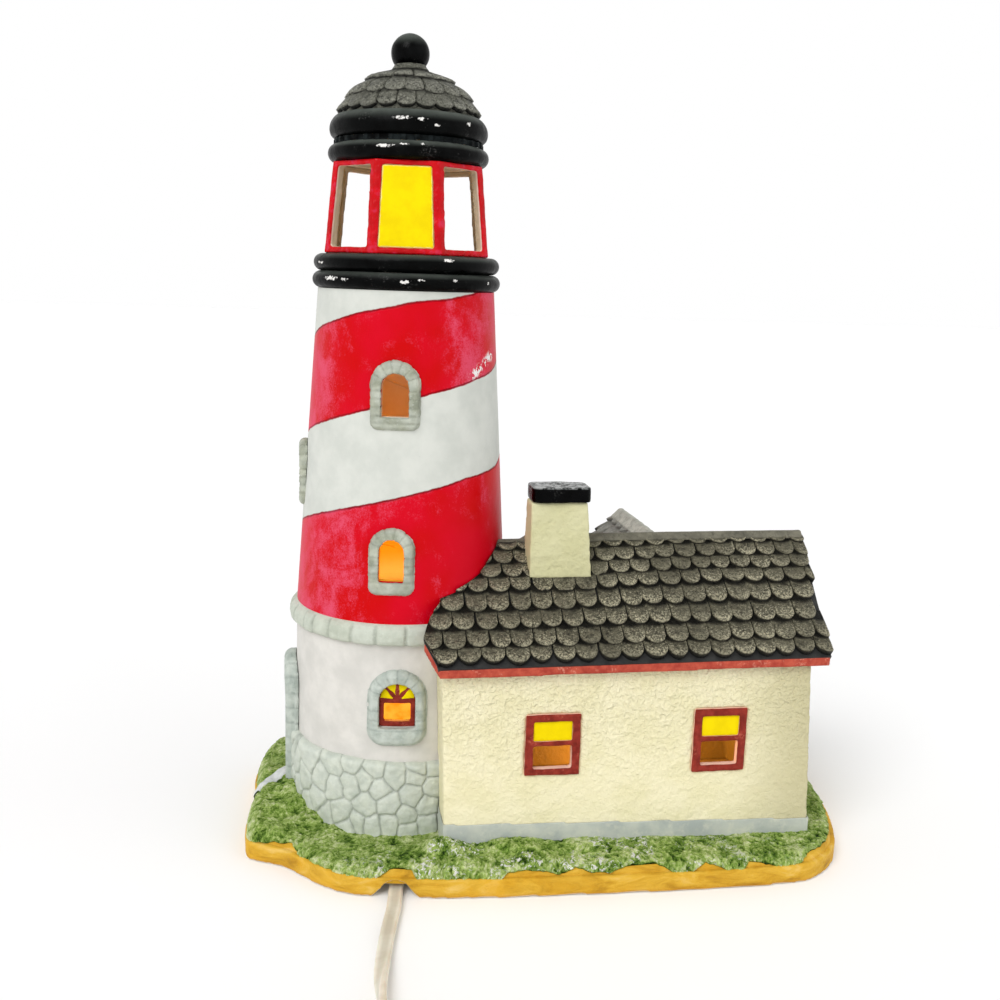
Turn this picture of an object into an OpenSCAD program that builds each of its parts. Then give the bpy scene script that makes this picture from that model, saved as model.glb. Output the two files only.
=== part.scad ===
// Lighthouse table lamp: a hollow painted ceramic lighthouse with its keeper's
// cottage, and the clip-in light unit, bulb, cord, line switch and plug that light it.
// All lengths are in millimetres. +Z is up, the table is z = 0, +X runs along the
// cottage front to the right and +Y to the back. The origin is the middle of the base.

/* [Tower] */
// Outer radius of the striped shaft where it meets the gallery
shaft_top_r = 32.9; // [32.5:0.1:33.3]
// Outer radius of the shaft at the stone band
shaft_low_r = 40.6; // [40.2:0.1:41]
// Thickness of the tower's ceramic wall
tower_t = 3.2; // [2.8:0.1:3.6]
// Outer radius of the fieldstone foundation
foundation_r = 43.8; // [43.4:0.1:44.2]
// Outer radius of the stone band under the stripes
band_r = 43.4; // [43:0.1:43.8]
// Width of a tower window opening
window_w = 9; // [8:0.5:10]
// Height of a tower window opening, to the top of its arch
window_h = 14.6; // [13:0.2:16]

/* [Lantern and dome] */
// Outer radius of the lower gallery ring
gallery_r = 34.9; // [34.6:0.1:35.4]
// Flat-to-axis distance of the lantern at its foot
lantern_foot = 29.72; // [29.5:0.02:29.9]
// Thickness of the lantern's wall
lantern_t = 3.8; // [3.4:0.1:4]
// Flat-to-axis distance of the lantern under the dome
lantern_top = 26.75; // [26.6:0.05:27]
// Outer radius of the ring under the dome
dome_ring_r = 29.4; // [29.2:0.1:29.8]
// Radius of the ball on the dome
ball_r = 7; // [6.6:0.1:7.2]

/* [Cottage] */
// Right face of the cottage wall under the eave, from the tower's axis
house_right = 147.3; // [146:0.1:148]
// Front face of the cottage wall, in front of the tower's axis
house_front = 57; // [56.5:0.1:57.5]
// Half depth of the cottage, wall face to ridge line
house_half = 40; // [39.6:0.1:40.2]
// How far the right wall leans out towards its foot
house_lean = 4.3; // [3.5:0.1:4.5]
// Width of a cottage window frame
frame_w = 20.2; // [20:0.1:20.6]
// Thickness of the cottage walls
house_t = 3.5; // [3:0.1:4]
// Height of the eave's top edge
eave_z = 82.3; // [82:0.1:82.6]
// Height of the roof surface at the ridge
ridge_z = 117.6; // [117.2:0.1:118]
// Rise of the whole roof to the right, in degrees
roof_tilt = 0.5; // [0:0.1:0.6]
// Height of the rear wing's ridge
wing_ridge_z = 112.4; // [111.5:0.1:113]

/* [Base] */
// Height of the sand-coloured rim
rim_h = 7; // [6.6:0.1:7.4]
// Width of the rim that stands on the table
rim_w = 5; // [4.5:0.5:6]
// Thickness of the base's web
web_t = 2.8; // [2.4:0.2:3]
// Width of the arched notch for the cord
notch_w = 11.4; // [10:0.2:12]
// Radius of the hole that the light unit clips into
clip_hole_r = 19; // [18.9:0.1:19.4]

/* [Light unit] */
// Outer radius of the bulb's glass
bulb_r = 11.1; // [10.6:0.1:11.3]
// Length of the bulb from its tip contact to the top of the glass
bulb_len = 54; // [52:0.5:55]
// Outer radius of the socket body
socket_r = 10; // [9.8:0.1:10.2]

/* [Cord] */
// Width of the flat two-core cord
cord_w = 5.2; // [5:0.1:5.4]
// Thickness of the flat two-core cord
cord_t = 2.7; // [2.5:0.1:2.8]
// Mean radius of the stored coil
coil_r = 28.5; // [28.5:0.1:28.6]

/* [Hidden] */
$fn = 96;
tower_x = -58;
tower_y = 6;
e = 0.01;

// ---- heights of the tower
z_band = 90;
z_shaft_top = 209;
z_found_top = 40.5;
slope = (shaft_low_r - shaft_top_r) / (208.5 - z_band);
foot_r = shaft_low_r + 0.7;
function rs(z) = z >= z_band ? shaft_low_r - (z - z_band) * slope
                             : foot_r - (z - rim_h) * (foot_r - shaft_low_r) / (z_band - rim_h);
// turning angles of the openings, from straight ahead (-Y) towards +X
a_upper = -10.5;
a_middle = -10.7;
a_ground = -6.4;
a_side = -95;
a_door = -93;
a_lantern = -6;

// outline of the base, round numbers from the tower's axis
outline = [[-59.6, -33], [-56.6, -37.6], [-47, -42.6], [-39.5, -50.5], [-32.5, -58.3],
           [-25.6, -63.8], [-18.8, -66.8], [-6.5, -69.2], [11.3, -72], [31, -73.6],
           [51.4, -74.6], [77, -75.6], [102, -76], [123, -76], [141.7, -74.8],
           [151, -71.2], [160.5, -62], [166.8, -48], [171, -33.6], [173.6, -18], [175.4, -4],
           [176, 12], [175.3, 28], [172, 43], [164, 54], [149, 60.6], [126, 63.4],
           [104, 64], [82, 63], [56, 59], [30, 56.4], [4, 57.4], [-20, 57.6], [-38, 54],
           [-50, 46], [-56, 33], [-58, 18], [-57.4, 6], [-58.4, -8], [-60, -22]];
function cr(a, b, c, d, t) = 0.5 * ((2 * b) + (c - a) * t + (2 * a - 5 * b + 4 * c - d) * t * t
                                    + (3 * b - a - 3 * c + d) * t * t * t);
function smooth_loop(p, n) = [for (i = [0:len(p) - 1]) for (j = [0:n - 1])
    let (m = len(p)) cr(p[(i + m - 1) % m], p[i], p[(i + 1) % m], p[(i + 2) % m], j / n)];
base_loop = smooth_loop(outline, 3);

// ---- helpers
module place() { translate([tower_x, tower_y, 0]) children(); }
module shaft(z0, z1, dr = 0) {
    if (z0 < z_band) translate([0, 0, z0])
        cylinder(h = min(z1, z_band) - z0, r1 = rs(z0) + dr, r2 = rs(min(z1, z_band) - e) + dr);
    if (z1 > z_band) translate([0, 0, max(z0, z_band)])
        cylinder(h = z1 - max(z0, z_band), r1 = rs(max(z0, z_band)) + dr, r2 = rs(z1) + dr);
}
module ring(r_in, r_out, z0, z1) {
    difference() {
        translate([0, 0, z0]) cylinder(h = z1 - z0, r = r_out);
        translate([0, 0, z0 - 1]) cylinder(h = z1 - z0 + 2, r = r_in);
    }
}
// a flat shape stood up on the tower at turning angle a, from radius r0 to r1
module radial(a, r0, r1) { rotate([0, 0, a]) translate([0, -r0, 0]) rotate([90, 0, 0])
    linear_extrude(r1 - r0) children(); }
module arch(w, h) { translate([-w / 2, 0]) square([w, h - w / 2]); translate([0, h - w / 2]) circle(r = w / 2); }
module at_roof() { translate([80, 0, 90]) rotate([0, -roof_tilt, 0]) translate([-80, 0, -90]) children(); }
// a shape in the Y-Z plane run along X
module along_x(x0, x1) { translate([x0, 0, 0]) rotate([90, 0, 90]) linear_extrude(x1 - x0) children(); }
module along_y(y0, y1) { translate([0, y1, 0]) rotate([90, 0, 0]) linear_extrude(y1 - y0) children(); }

// ---- base
module notch_cut() {
    translate([-6.5, -60, 0]) rotate([90, 0, 0]) linear_extrude(20)
        { translate([-notch_w / 2, -1]) square([notch_w, 1.6]);
          polygon([[-8, -1], [8, -1], [8, 0], [6.7, 1], [5.9, 2.2], [5.4, 3], [-5.4, 3], [-5.9, 2.2], [-6.7, 1], [-8, 0]]);
          intersection() { translate([0, 0.5]) circle(r = notch_w / 2); translate([-10, 0]) square([20, 10]); } }
}
module sand_base() { color([0.88, 0.66, 0.24]) place() difference() {
    linear_extrude(rim_h) polygon(base_loop);
    translate([0, 0, -1]) linear_extrude(rim_h - web_t + 1) offset(delta = -rim_w) polygon(base_loop);
    translate([0, 0, -1]) cylinder(h = rim_h + 2, r = 36);
    translate([-7, -56, -1]) cube([12, 24, 6.4]);
    notch_cut();
} }
module house_plan(grow = 0) {
    translate([9.5 - grow, -house_front - grow]) square([house_right + house_lean - 9.5 + 2 * grow, 2 * house_half + 2 * grow]);
    translate([73.5 - grow, 0]) square([60 + 2 * grow, 52.5 + grow]);
}
module door_plan() { rotate(a_door) translate([-12, -45.6]) square([24, 20]); }
module path_plan() { translate([-52, -5]) rotate(38) translate([-14, -2.8]) square([22, 5.6]); }
module bank_layer(z0, z1, d, reach, wide = 300) { translate([0, 0, z0]) linear_extrude(z1 - z0) difference() {
    intersection() { offset(delta = -d) polygon(base_loop); union() { circle(r = reach); translate([0, -100]) square([wide, 200]); } }
    circle(r = foundation_r);
    house_plan(0.8);
    door_plan();
    path_plan();
} }
// the cottage's outside: its ends lean, its front and back are upright
module house_body(grow = 0) {
    along_y(-house_front - grow, 2 * house_half - house_front + grow) polygon([[11.9 - grow, rim_h],
        [house_right + house_lean + grow, rim_h], [house_right + grow, eave_z], [house_right + grow, 127],
        [9.5 - grow, 127], [9.5 - grow, eave_z]]);
}
module grass_bank() { color([0.36, 0.5, 0.24]) place() {
    bank_layer(rim_h, 9, 1.4, 100);
    bank_layer(9, 10.6, 4.6, 66);
    difference() { bank_layer(10.6, 12.4, 8, 61, 40); translate([-27, -80, 0]) cube([36, 55, 30]); }
    difference() { bank_layer(12.4, 15, 7.2, 56, 1); translate([-34, -80, 0]) cube([120, 60, 30]); }
    difference() { bank_layer(15, 17.6, 9, 50, 1); translate([-37, -80, 0]) cube([120, 60, 30]); }
} }
module door_path() { color([0.82, 0.84, 0.82]) place() translate([0, 0, rim_h]) linear_extrude(7) difference() {
    intersection() { path_plan(); offset(delta = -1.6) polygon(base_loop); }
    circle(r = foundation_r);
    door_plan();
} }

// ---- tower
module stone_foundation() { color([0.67, 0.7, 0.69]) place() difference() {
    union() {
        translate([0, 0, rim_h]) cylinder(h = 31.5, r = foundation_r);
        translate([0, 0, rim_h + 31.5]) cylinder(h = z_found_top - rim_h - 31.5, r1 = foundation_r, r2 = foundation_r - 2);
    }
    translate([0, 0, rim_h - 1]) cylinder(h = z_band - rim_h + 1, r1 = rs(rim_h - 1), r2 = shaft_low_r);
    door_block();
    light_passage();
} }
module arch_cut(a, w, h, z0) { radial(a, 20, 60) translate([0, z0]) arch(w, h); }
module light_passage() { translate([20, -20, 16]) cube([40, 34, 52]); }
module tower_wall() { color([0.9, 0.9, 0.89]) place() difference() {
    shaft(rim_h, z_shaft_top);
    difference() { shaft(rim_h - 1, z_shaft_top + 1, -tower_t); }
    arch_cut(a_upper, window_w + 0.8, window_h + 0.8, 165.1);
    arch_cut(a_middle, window_w, window_h + 0.6, 106.4);
    arch_cut(a_side, window_w, window_h, 132.4);
    arch_cut(a_ground, 13.2, 17, 51.8);
    radial(a_door, 20, 60) translate([0, 12]) arch(15.4, 46);
    light_passage();
} }
module tower_floor() { color([0.86, 0.85, 0.82]) place() difference() {
    translate([0, 0, 11]) cylinder(h = 3, r = rs(14) - tower_t - 0.02);
    translate([0, 0, 10]) cylinder(h = 5, r = clip_hole_r);
} }
module stone_band() { color([0.67, 0.7, 0.69]) place() difference() {
    rotate_extrude() polygon([[rs(83.2) - 1, 83.2], [band_r - 0.7, 83.4], [band_r, 84.6], [band_r - 0.1, 87.6],
        [band_r - 0.8, 89.4], [rs(91) + 0.3, 90.8], [rs(91) - 2, 90.8]]);
    shaft(80, 95, 0.04);
    at_roof() roof_wedge(0);
    translate([9.5, -60, 80]) cube([40, 80, 15]);
} }
// the stone frame round a tower window: face at radius rf, foot at z0
module surround(a, w, h, z0, ow, oh, oz, rf) {
    difference() {
        intersection() {
            radial(a, 20, 60) translate([0, z0]) arch(w, h);
            translate([0, 0, z0 - 5]) cylinder(h = h + 10, r = rf);
        }
        shaft(rim_h, z_shaft_top);
        radial(a, 20, 60) translate([0, oz]) arch(ow, oh);
    }
}
module upper_window_surround() { color([0.62, 0.67, 0.64]) place()
    surround(a_upper, 18.4, 25, 160.3, window_w + 0.8, window_h + 0.8, 165.1, 37.6); }
module middle_window_surround() { color([0.62, 0.67, 0.64]) place()
    surround(a_middle, 17.2, 25, 101, window_w, window_h + 0.6, 106.4, 41.2); }
module side_window_surround() { color([0.62, 0.67, 0.64]) place()
    surround(a_side, 17.2, 25.2, 127.2, window_w, window_h, 132.4, 39.9); }
module ground_window_surround() { color([0.62, 0.67, 0.64]) place() difference() {
    surround(a_ground, 22.4, 29.6, 44.4, 13.2, 17, 51.8, 43.4);
    translate([0, 0, 20]) cylinder(h = z_found_top - 20, r = 50);
} }
module ground_window_sash() { color([0.5, 0.16, 0.12]) place() difference() {
    intersection() {
        radial(a_ground, 20, 60) translate([0, 51.8]) arch(13.2, 17);
        ring(38.2, 40.4, 45, 75);
    }
    radial(a_ground, 20, 60) translate([-4.9, 53.8]) square([9.8, 6.9]);
    radial(a_ground, 20, 60) fan_lights();
} }
module fan_lights() { translate([0, 62.3]) for (k = [0:2]) rotate([0, 0, 24 + k * 45]) intersection() {
    difference() { circle(r = 5.4); circle(r = 1.6); }
    polygon([[0, 0], [9, 0], [9, 5.4], [0, 0]]);
} }
module fanlight_panes() { color([0.95, 0.8, 0.1]) place() intersection() {
    radial(a_ground, 20, 60) fan_lights();
    ring(38.6, 39.8, 45, 75);
} }
module door_block() { radial(a_door, 36, 45.6) translate([0, 12]) arch(24, 56.5); }
module door_surround() { color([0.62, 0.67, 0.64]) place() difference() {
    door_block();
    shaft(rim_h - 1, 90);
    radial(a_door, 20, 60) translate([0, 12]) arch(15.4, 46);
} }
module tower_door() { color([0.42, 0.25, 0.15]) place() difference() {
    intersection() {
        radial(a_door, 20, 60) translate([0, 12]) arch(15.4, 46);
        ring(39, 42.4, 8, 62);
    }
    for (k = [-1, 0, 1]) radial(a_door, 42.1, 50) translate([k * 3.85 - 0.25, 5]) square([0.5, 60]);
} }

// ---- gallery, lantern and dome
module gallery_floor() { color([0.8, 0.78, 0.72]) place() ring(20, 31, z_shaft_top, z_shaft_top + 6.2); }
module gallery_lower_ring() { color([0.1, 0.1, 0.1]) place() rotate_extrude() {
    intersection() {
        translate([gallery_r - 3.1, z_shaft_top + 3.1]) circle(r = 3.1);
        translate([31, z_shaft_top]) square([5, 6.2]);
    }
    translate([31, z_shaft_top]) square([gallery_r - 3.1 - 31, 6.2]);
} }
module gallery_upper_ring() { color([0.1, 0.1, 0.1]) place() rotate_extrude() {
    translate([31.3, z_shaft_top + 9.3]) circle(r = 3.1);
    translate([25, z_shaft_top + 6.2]) square([6.3, 6.2]);
} }
lantern_z0 = 221.4;
lantern_z1 = 253.7;
lantern_lean = atan((lantern_foot - lantern_top) / (253.5 - lantern_z0));
module octagon_body(d) { intersection() {
    translate([0, 0, lantern_z0]) cylinder(h = lantern_z1 - lantern_z0, r = 40);
    intersection_for (i = [0:7]) rotate([0, 0, a_lantern + i * 45])
        translate([0, -lantern_foot + d, lantern_z0]) rotate([-lantern_lean, 0, 0])
            translate([-60, 0, -20]) cube([120, 120, 90]);
} }
module lantern_light(i) { radial(a_lantern + i * 45, 15, 40) polygon([[-9.8, 223.8], [9.8, 223.8], [8.6, 251.8], [-8.6, 251.8]]); }
module lantern_frame() { color([0.75, 0.05, 0.08]) place() difference() {
    octagon_body(0);
    difference() { octagon_body(lantern_t); translate([0, 0, lantern_z0 - 1]) cylinder(h = 0.5, r = 5); }
    translate([0, 0, lantern_z0 - 1]) cylinder(h = 3, r = 25);
    translate([0, 0, lantern_z1 - 2]) cylinder(h = 4, r = 22);
    for (i = [0:7]) lantern_light(i);
} }
module lantern_panes() { color([0.93, 0.88, 0.08]) place() for (i = [0, 2, 4, 6]) intersection() {
    difference() { octagon_body(0.5); octagon_body(2.0); }
    lantern_light(i);
} }
module dome_lower_ring() { color([0.1, 0.1, 0.1]) place() rotate_extrude() {
    translate([dome_ring_r - 3.3, 257]) circle(r = 3.3);
    translate([20, 253.7]) square([dome_ring_r - 3.3 - 20, 6.6]);
} }
module dome_dentil_course() { color([0.13, 0.13, 0.13]) place() union() {
    ring(20, 26.8, 260.3, 262);
    for (k = [0:35]) rotate([0, 0, k * 10]) translate([-0.9, -27.6, 260.3]) cube([1.8, 2, 1.7]);
} }
module dome_upper_ring() { color([0.1, 0.1, 0.1]) place() rotate_extrude() {
    translate([24.9, 265.9]) circle(r = 3.9);
    translate([20, 262]) square([4.9, 7.8]);
} }
module dome_roof() { color([0.4, 0.4, 0.37]) place() rotate_extrude() polygon([[20, 269.8], [26.2, 269.8],
    [26.6, 270.8], [22.2, 277.2], [22.7, 277.0], [18.6, 281.2], [19.1, 281.0], [15.0, 283.8], [15.5, 283.5],
    [11.4, 285.5], [7.4, 287.6], [0, 287.6], [0, 284.4], [7, 284], [13, 280.6], [17, 277], [20, 272]]); }
module dome_collar() { color([0.12, 0.12, 0.12]) place() translate([0, 0, 287.6]) cylinder(h = 1.4, r = 6.2); }
module ball_finial() { color([0.1, 0.1, 0.1]) place() intersection() {
    translate([0, 0, 300 - ball_r]) sphere(r = ball_r);
    translate([0, 0, 289]) cylinder(h = 20, r = 12);
} }

// ---- cottage
ridge_y = -(house_front - house_half);
eave_y = house_half + 3.5;
roof_m = (ridge_z - eave_z) / eave_y;
module roof_wedge(drop, reach = 0) { along_x(-10, 170) polygon([[ridge_y - eave_y - reach, 0],
    [ridge_y + eave_y + reach, 0], [ridge_y + eave_y + reach, eave_z - drop - reach * roof_m],
    [ridge_y, ridge_z - drop], [ridge_y - eave_y - reach, eave_z - drop - reach * roof_m]]); }
module roof_layer(d0, d1) { along_x(-10, 170) polygon([[ridge_y - eave_y, eave_z - d0], [ridge_y, ridge_z - d0],
    [ridge_y + eave_y, eave_z - d0], [ridge_y + eave_y, eave_z - d1], [ridge_y, ridge_z - d1], [ridge_y - eave_y, eave_z - d1]]); }
// the roof seen from above, with its left verge and the corner cut off it
module roof_plan(d = 0) { translate([0, 0, 60]) linear_extrude(80) polygon([
    [8 + d, ridge_y - eave_y + d], [153.4 - d, ridge_y - eave_y + d], [157.3 - d, ridge_y],
    [153.4 - d, ridge_y + eave_y - d], [20, ridge_y + eave_y - d], [10, 0],
    [10.4 + d, -38], [10.4 + d, -40.1], [5.6 + d, -45.6], [3.3 + d, -51.3]]); }
module cottage_roof() { color([0.27, 0.26, 0.24]) place() difference() {
    at_roof() union() {
        intersection() { roof_layer(0, 2.2); roof_plan(); }
        intersection() { roof_layer(2.2, 4.4); translate([9.5 + house_t, -house_front + house_t, 0])
            cube([house_right - 9.5 - 2 * house_t, 2 * house_half - 2 * house_t, 140]); }
    }
    shaft(60, 140);
} }
module roof_trim() { color([0.6, 0.24, 0.18]) place() difference() {
    at_roof() intersection() { roof_layer(2.2, 5.4); roof_plan(0.3); }
    house_body();
    translate([73.5, 0, 0]) cube([60, 52.5, 140]);
    shaft(60, 140);
    shaft_ledge();
} }
module shaft_ledge() { rotate_extrude() polygon([[30, 83], [band_r + 0.1, 83], [band_r + 0.1, 91], [30, 91]]); }
module ridge_cap() { color([0.3, 0.29, 0.26]) place() difference() {
    at_roof() along_x(20, 157.3) polygon([[ridge_y - 4.4, ridge_z - 4.4 * roof_m], [ridge_y - 4.4, ridge_z - 4.4 * roof_m + 1.5],
        [ridge_y - 0.9, ridge_z + 1.4], [ridge_y + 0.9, ridge_z + 1.4], [ridge_y + 4.4, ridge_z - 4.4 * roof_m + 1.5],
        [ridge_y + 4.4, ridge_z - 4.4 * roof_m], [ridge_y, ridge_z]]);
    shaft(60, 140);
    chimney_block(0.05);
} }
module cottage_walls() { color([0.9, 0.87, 0.7]) place() difference() {
    house_body();
    along_y(-house_front + house_t, 2 * house_half - house_front - house_t) polygon([[11.9 + house_t, rim_h - 1],
        [house_right + house_lean - house_t, rim_h - 1], [house_right - house_t, eave_z], [house_right - house_t, 130],
        [9.5 + house_t, 130], [9.5 + house_t, eave_z]]);
    at_roof() difference() { translate([-20, -120, 40]) cube([220, 200, 120]); roof_wedge(2.2, 30); }
    shaft(rim_h - 1, 140);
    translate([0, 0, rim_h - 1]) cylinder(h = z_found_top - rim_h + 1, r = foundation_r);
    shaft_ledge();
    put_windows() window_hole_solid();
    translate([81, 15, 12]) cube([45, 12, 62]);
} }
module plinth_top() { translate([80, 0, 19.1]) rotate([0, 1.7, 0]) translate([-120, -100, 0]) cube([240, 200, 30]); }
module cottage_plinth() { color([0.66, 0.7, 0.72]) place() difference() {
    intersection() {
        union() { house_body(0.6); translate([72.9, 0, rim_h]) cube([61.2, 53.1, 24]); }
        translate([0, -60, rim_h]) cube([160, 120, 20]);
    }
    house_body();
    translate([73.5, 0, 0]) cube([60, 52.5, 60]);
    translate([0, 0, rim_h - 1]) cylinder(h = z_found_top, r = foundation_r);
    plinth_top();
} }
// $wh is the height of each window's frame
module window_frame_solid() { difference() {
    cube([frame_w, 3.4, $wh]);
    translate([3, -1, 0.1 * $wh]) cube([frame_w - 5.9, 6, 0.385 * $wh]);
    translate([3, -1, 0.56 * $wh]) cube([frame_w - 5.9, 6, 0.325 * $wh]);
} }
module window_pane_solid() { translate([3, 0.9, 0.56 * $wh]) cube([frame_w - 5.9, 1.4, 0.325 * $wh]); }
module window_hole_solid() { translate([0, -4, 0]) cube([frame_w, 12, $wh]); }
lean = atan(house_lean / (eave_z - rim_h));
module put_windows() {
    translate([40.25, -house_front - 0.9, 38.3]) { $wh = 23; children(); }
    translate([103.4, -house_front - 0.9, 37.1]) { $wh = 24.5; children(); }
    translate([house_right + house_lean * (eave_z - 38) / (eave_z - rim_h) + 0.9, ridge_y - frame_w / 2, 38])
        rotate([0, -lean, 0]) rotate([0, 0, 90]) { $wh = 23.8; children(); }
    translate([103.5 + frame_w / 2, 52.5 + 0.9, 38]) rotate([0, 0, 180]) { $wh = 23.8; children(); }
}
module cottage_window_frames() { color([0.55, 0.2, 0.15]) place() put_windows() window_frame_solid(); }
module cottage_window_panes() { color([0.93, 0.85, 0.1]) place() put_windows() window_pane_solid(); }
module chimney_block(g = 0) { intersection() {
    along_y(-34, -16) polygon([[44.4 - g, 95], [69.4 + g, 95], [65.7 + g, 133.9], [44.4 - g, 133.9]]);
    along_x(40, 75) polygon([[-32.5 - g, 90], [-18 + g, 90], [-22.5 + g, 134], [-32.5 - g, 134]]);
} }
module chimney_stack() { color([0.88, 0.86, 0.66]) place() difference() {
    chimney_block();
    at_roof() roof_wedge(0);
} }
module chimney_cap() { color([0.05, 0.05, 0.05]) place() translate([47.5, -31.1, 133.9])
    linear_extrude(5.9) offset(r = 3) square([16.4, 8.2]); }

// ---- rear wing
wing_x = 103.5;
wing_half = 33;
wing_m = roof_m;
module wing_layer(d0, d1, h = wing_half) { along_y(ridge_y, 56) polygon([[wing_x - h, wing_ridge_z - h * wing_m - d0],
    [wing_x, wing_ridge_z - d0], [wing_x + h, wing_ridge_z - h * wing_m - d0],
    [wing_x + h, wing_ridge_z - h * wing_m - d1], [wing_x, wing_ridge_z - d1], [wing_x - h, wing_ridge_z - h * wing_m - d1]]); }
module under_main_roof() { at_roof() roof_wedge(0); translate([-10, -80, 0]) cube([180, 103, 70]); }
module wing_roof() { color([0.3, 0.29, 0.27]) place() difference() {
    wing_layer(0, 2.2);
    at_roof() roof_wedge(0);
} }
module wing_trim() { color([0.6, 0.24, 0.18]) place() difference() {
    intersection() { wing_layer(2.2, 5.4, wing_half - 0.3); translate([0, 0, 0]) cube([200, 55.7, 200]); }
    translate([73.5, 0, 0]) cube([60, 52.5, 140]);
    at_roof() roof_wedge(0);
    translate([0, -80, 0]) cube([200, 106.6, 200]);
} }
module wing_ridge_cap() { color([0.32, 0.31, 0.28]) place() difference() {
    along_y(ridge_y, 56.4) polygon([[wing_x - 4.4, wing_ridge_z - 4.4 * wing_m], [wing_x - 4.4, wing_ridge_z - 4.4 * wing_m + 1.5],
        [wing_x - 0.9, wing_ridge_z + 1.4], [wing_x + 0.9, wing_ridge_z + 1.4], [wing_x + 4.4, wing_ridge_z - 4.4 * wing_m + 1.5],
        [wing_x + 4.4, wing_ridge_z - 4.4 * wing_m], [wing_x, wing_ridge_z]]);
    at_roof() roof_wedge(0);
} }
module wing_walls() { color([0.9, 0.87, 0.7]) place() difference() {
    translate([73.5, 2 * house_half - house_front, rim_h]) cube([60, 52.5 - (2 * house_half - house_front), 120]);
    translate([73.5 + house_t, 0, rim_h - 1]) cube([60 - 2 * house_t, 52.5 - house_t, 122]);
    difference() { translate([60, 0, 60]) cube([90, 60, 100]);
        along_y(-10, 70) polygon([[wing_x - 40, 0], [wing_x + 40, 0], [wing_x + 40, wing_ridge_z - 40 * wing_m - 2.2],
            [wing_x, wing_ridge_z - 2.2], [wing_x - 40, wing_ridge_z - 40 * wing_m - 2.2]]); }
    difference() { at_roof() roof_wedge(0); translate([0, -60, 0]) cube([200, 200, 70]); }
    translate([0, 20, 70]) cube([200, 6.6, 12.8]);
    put_windows() window_hole_solid();
} }

// ---- light unit
floor_under = 11;
module clip_plate() { color([0.75, 0.76, 0.78]) place() {
    ring(socket_r, 23, floor_under - 1.2, floor_under - 0.4);
    for (s = [0, 180]) rotate([0, 0, s]) {
        translate([17, -5, floor_under - 0.4]) cube([0.7, 10, 12]);
        translate([17, -5, floor_under + 11.6]) rotate([0, -60, 0]) cube([0.7, 10, 5]);
    }
} }
module socket_body() { color([0.93, 0.92, 0.87]) place() difference() {
    union() {
        translate([0, 0, 8.5]) cylinder(h = 23.5, r = socket_r);
        translate([0, 0, 8.5]) cylinder(h = 1.3, r = 14.5);
    }
    translate([0, 0, 16]) cylinder(h = 20, r = 6.6);
    translate([0, 0, 8]) cylinder(h = 9, r = 1.25);
} }
module socket_shell() { color([0.8, 0.65, 0.3]) place() ring(6.1, 6.6, 17.2, 31); }
module socket_contact() { color([0.8, 0.65, 0.3]) place() {
    translate([0, 0, 16]) cylinder(h = 1.2, r = 3);
    translate([0, 0, 10.5]) cylinder(h = 5.5, r = 1.2);
} }
module socket_cap() { color([0.93, 0.92, 0.87]) place() difference() {
    union() {
        translate([0, 0, 1.2]) cylinder(h = 7.3, r = 13);
        translate([0, -10, 3.6]) rotate([90, 0, 0]) cylinder(h = 8, r = 4);
        translate([0, -18, 3.6]) rotate([90, 0, 0]) cylinder(h = 14, r1 = 4, r2 = 3.2);
    }
    translate([0, 0, 2.6]) cylinder(h = 8, r = 11.4);
    translate([-2.62, -40, 2.24]) cube([5.24, 35, 2.72]);
    translate([-10, -40, -3]) cube([20, 40, 3.3]);
} }
tip_z = 17.3;
module bulb_tip() { color([0.8, 0.8, 0.78]) place() rotate_extrude() polygon([[0, tip_z], [1.2, tip_z], [2.2, tip_z + 0.5], [2.6, tip_z + 1.2], [0, tip_z + 1.2]]); }
module bulb_cap() { color([0.82, 0.68, 0.32]) place() rotate_extrude() polygon(concat(
    [[0, tip_z + 1.3], [2.7, tip_z + 1.3], [4.6, tip_z + 2.4]],
    [for (k = [0:7]) [5.2 + (k % 2) * 0.5, tip_z + 3.2 + k * 1.27]],
    [[5.7, tip_z + 13.6], [5.5, tip_z + 15.4], [4.6, tip_z + 15.4], [4.6, tip_z + 4], [0, tip_z + 4]])); }
glass_r = [[5.4, 15.5], [6.2, 18], [8.6, 23], [10.5, 28], [11.1, 33], [10.7, 39], [9, 45], [6.4, 49.6], [3.4, 52.6]];
module bulb_glass() { color([1, 0.95, 0.8, 0.5]) place() rotate_extrude() polygon(concat(
    [for (p = glass_r) [p[0] * bulb_r / 11.1, tip_z + p[1] * bulb_len / 54]], [[0, tip_z + bulb_len], [0, tip_z + bulb_len - 0.8]],
    [for (k = [len(glass_r) - 1:-1:0]) [glass_r[k][0] * bulb_r / 11.1 - 0.75, tip_z + glass_r[k][1] * bulb_len / 54 - (k > 6 ? 0.6 : 0)]])); }
module bulb_filament() { color([0.6, 0.6, 0.6]) place() {
    translate([0, 0, tip_z + 15.5]) cylinder(h = 1, r = 4.5);
    translate([0, 0, tip_z + 16.5]) cylinder(h = 9, r1 = 2.4, r2 = 1.4);
    for (s = [-1, 1]) translate([s * 1, 0, tip_z + 25]) rotate([0, s * 18, 0]) cylinder(h = 8, r = 0.25);
    translate([-3.6, 0, tip_z + 32.4]) rotate([0, 90, 0]) cylinder(h = 7.2, r = 0.45);
} }

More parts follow.
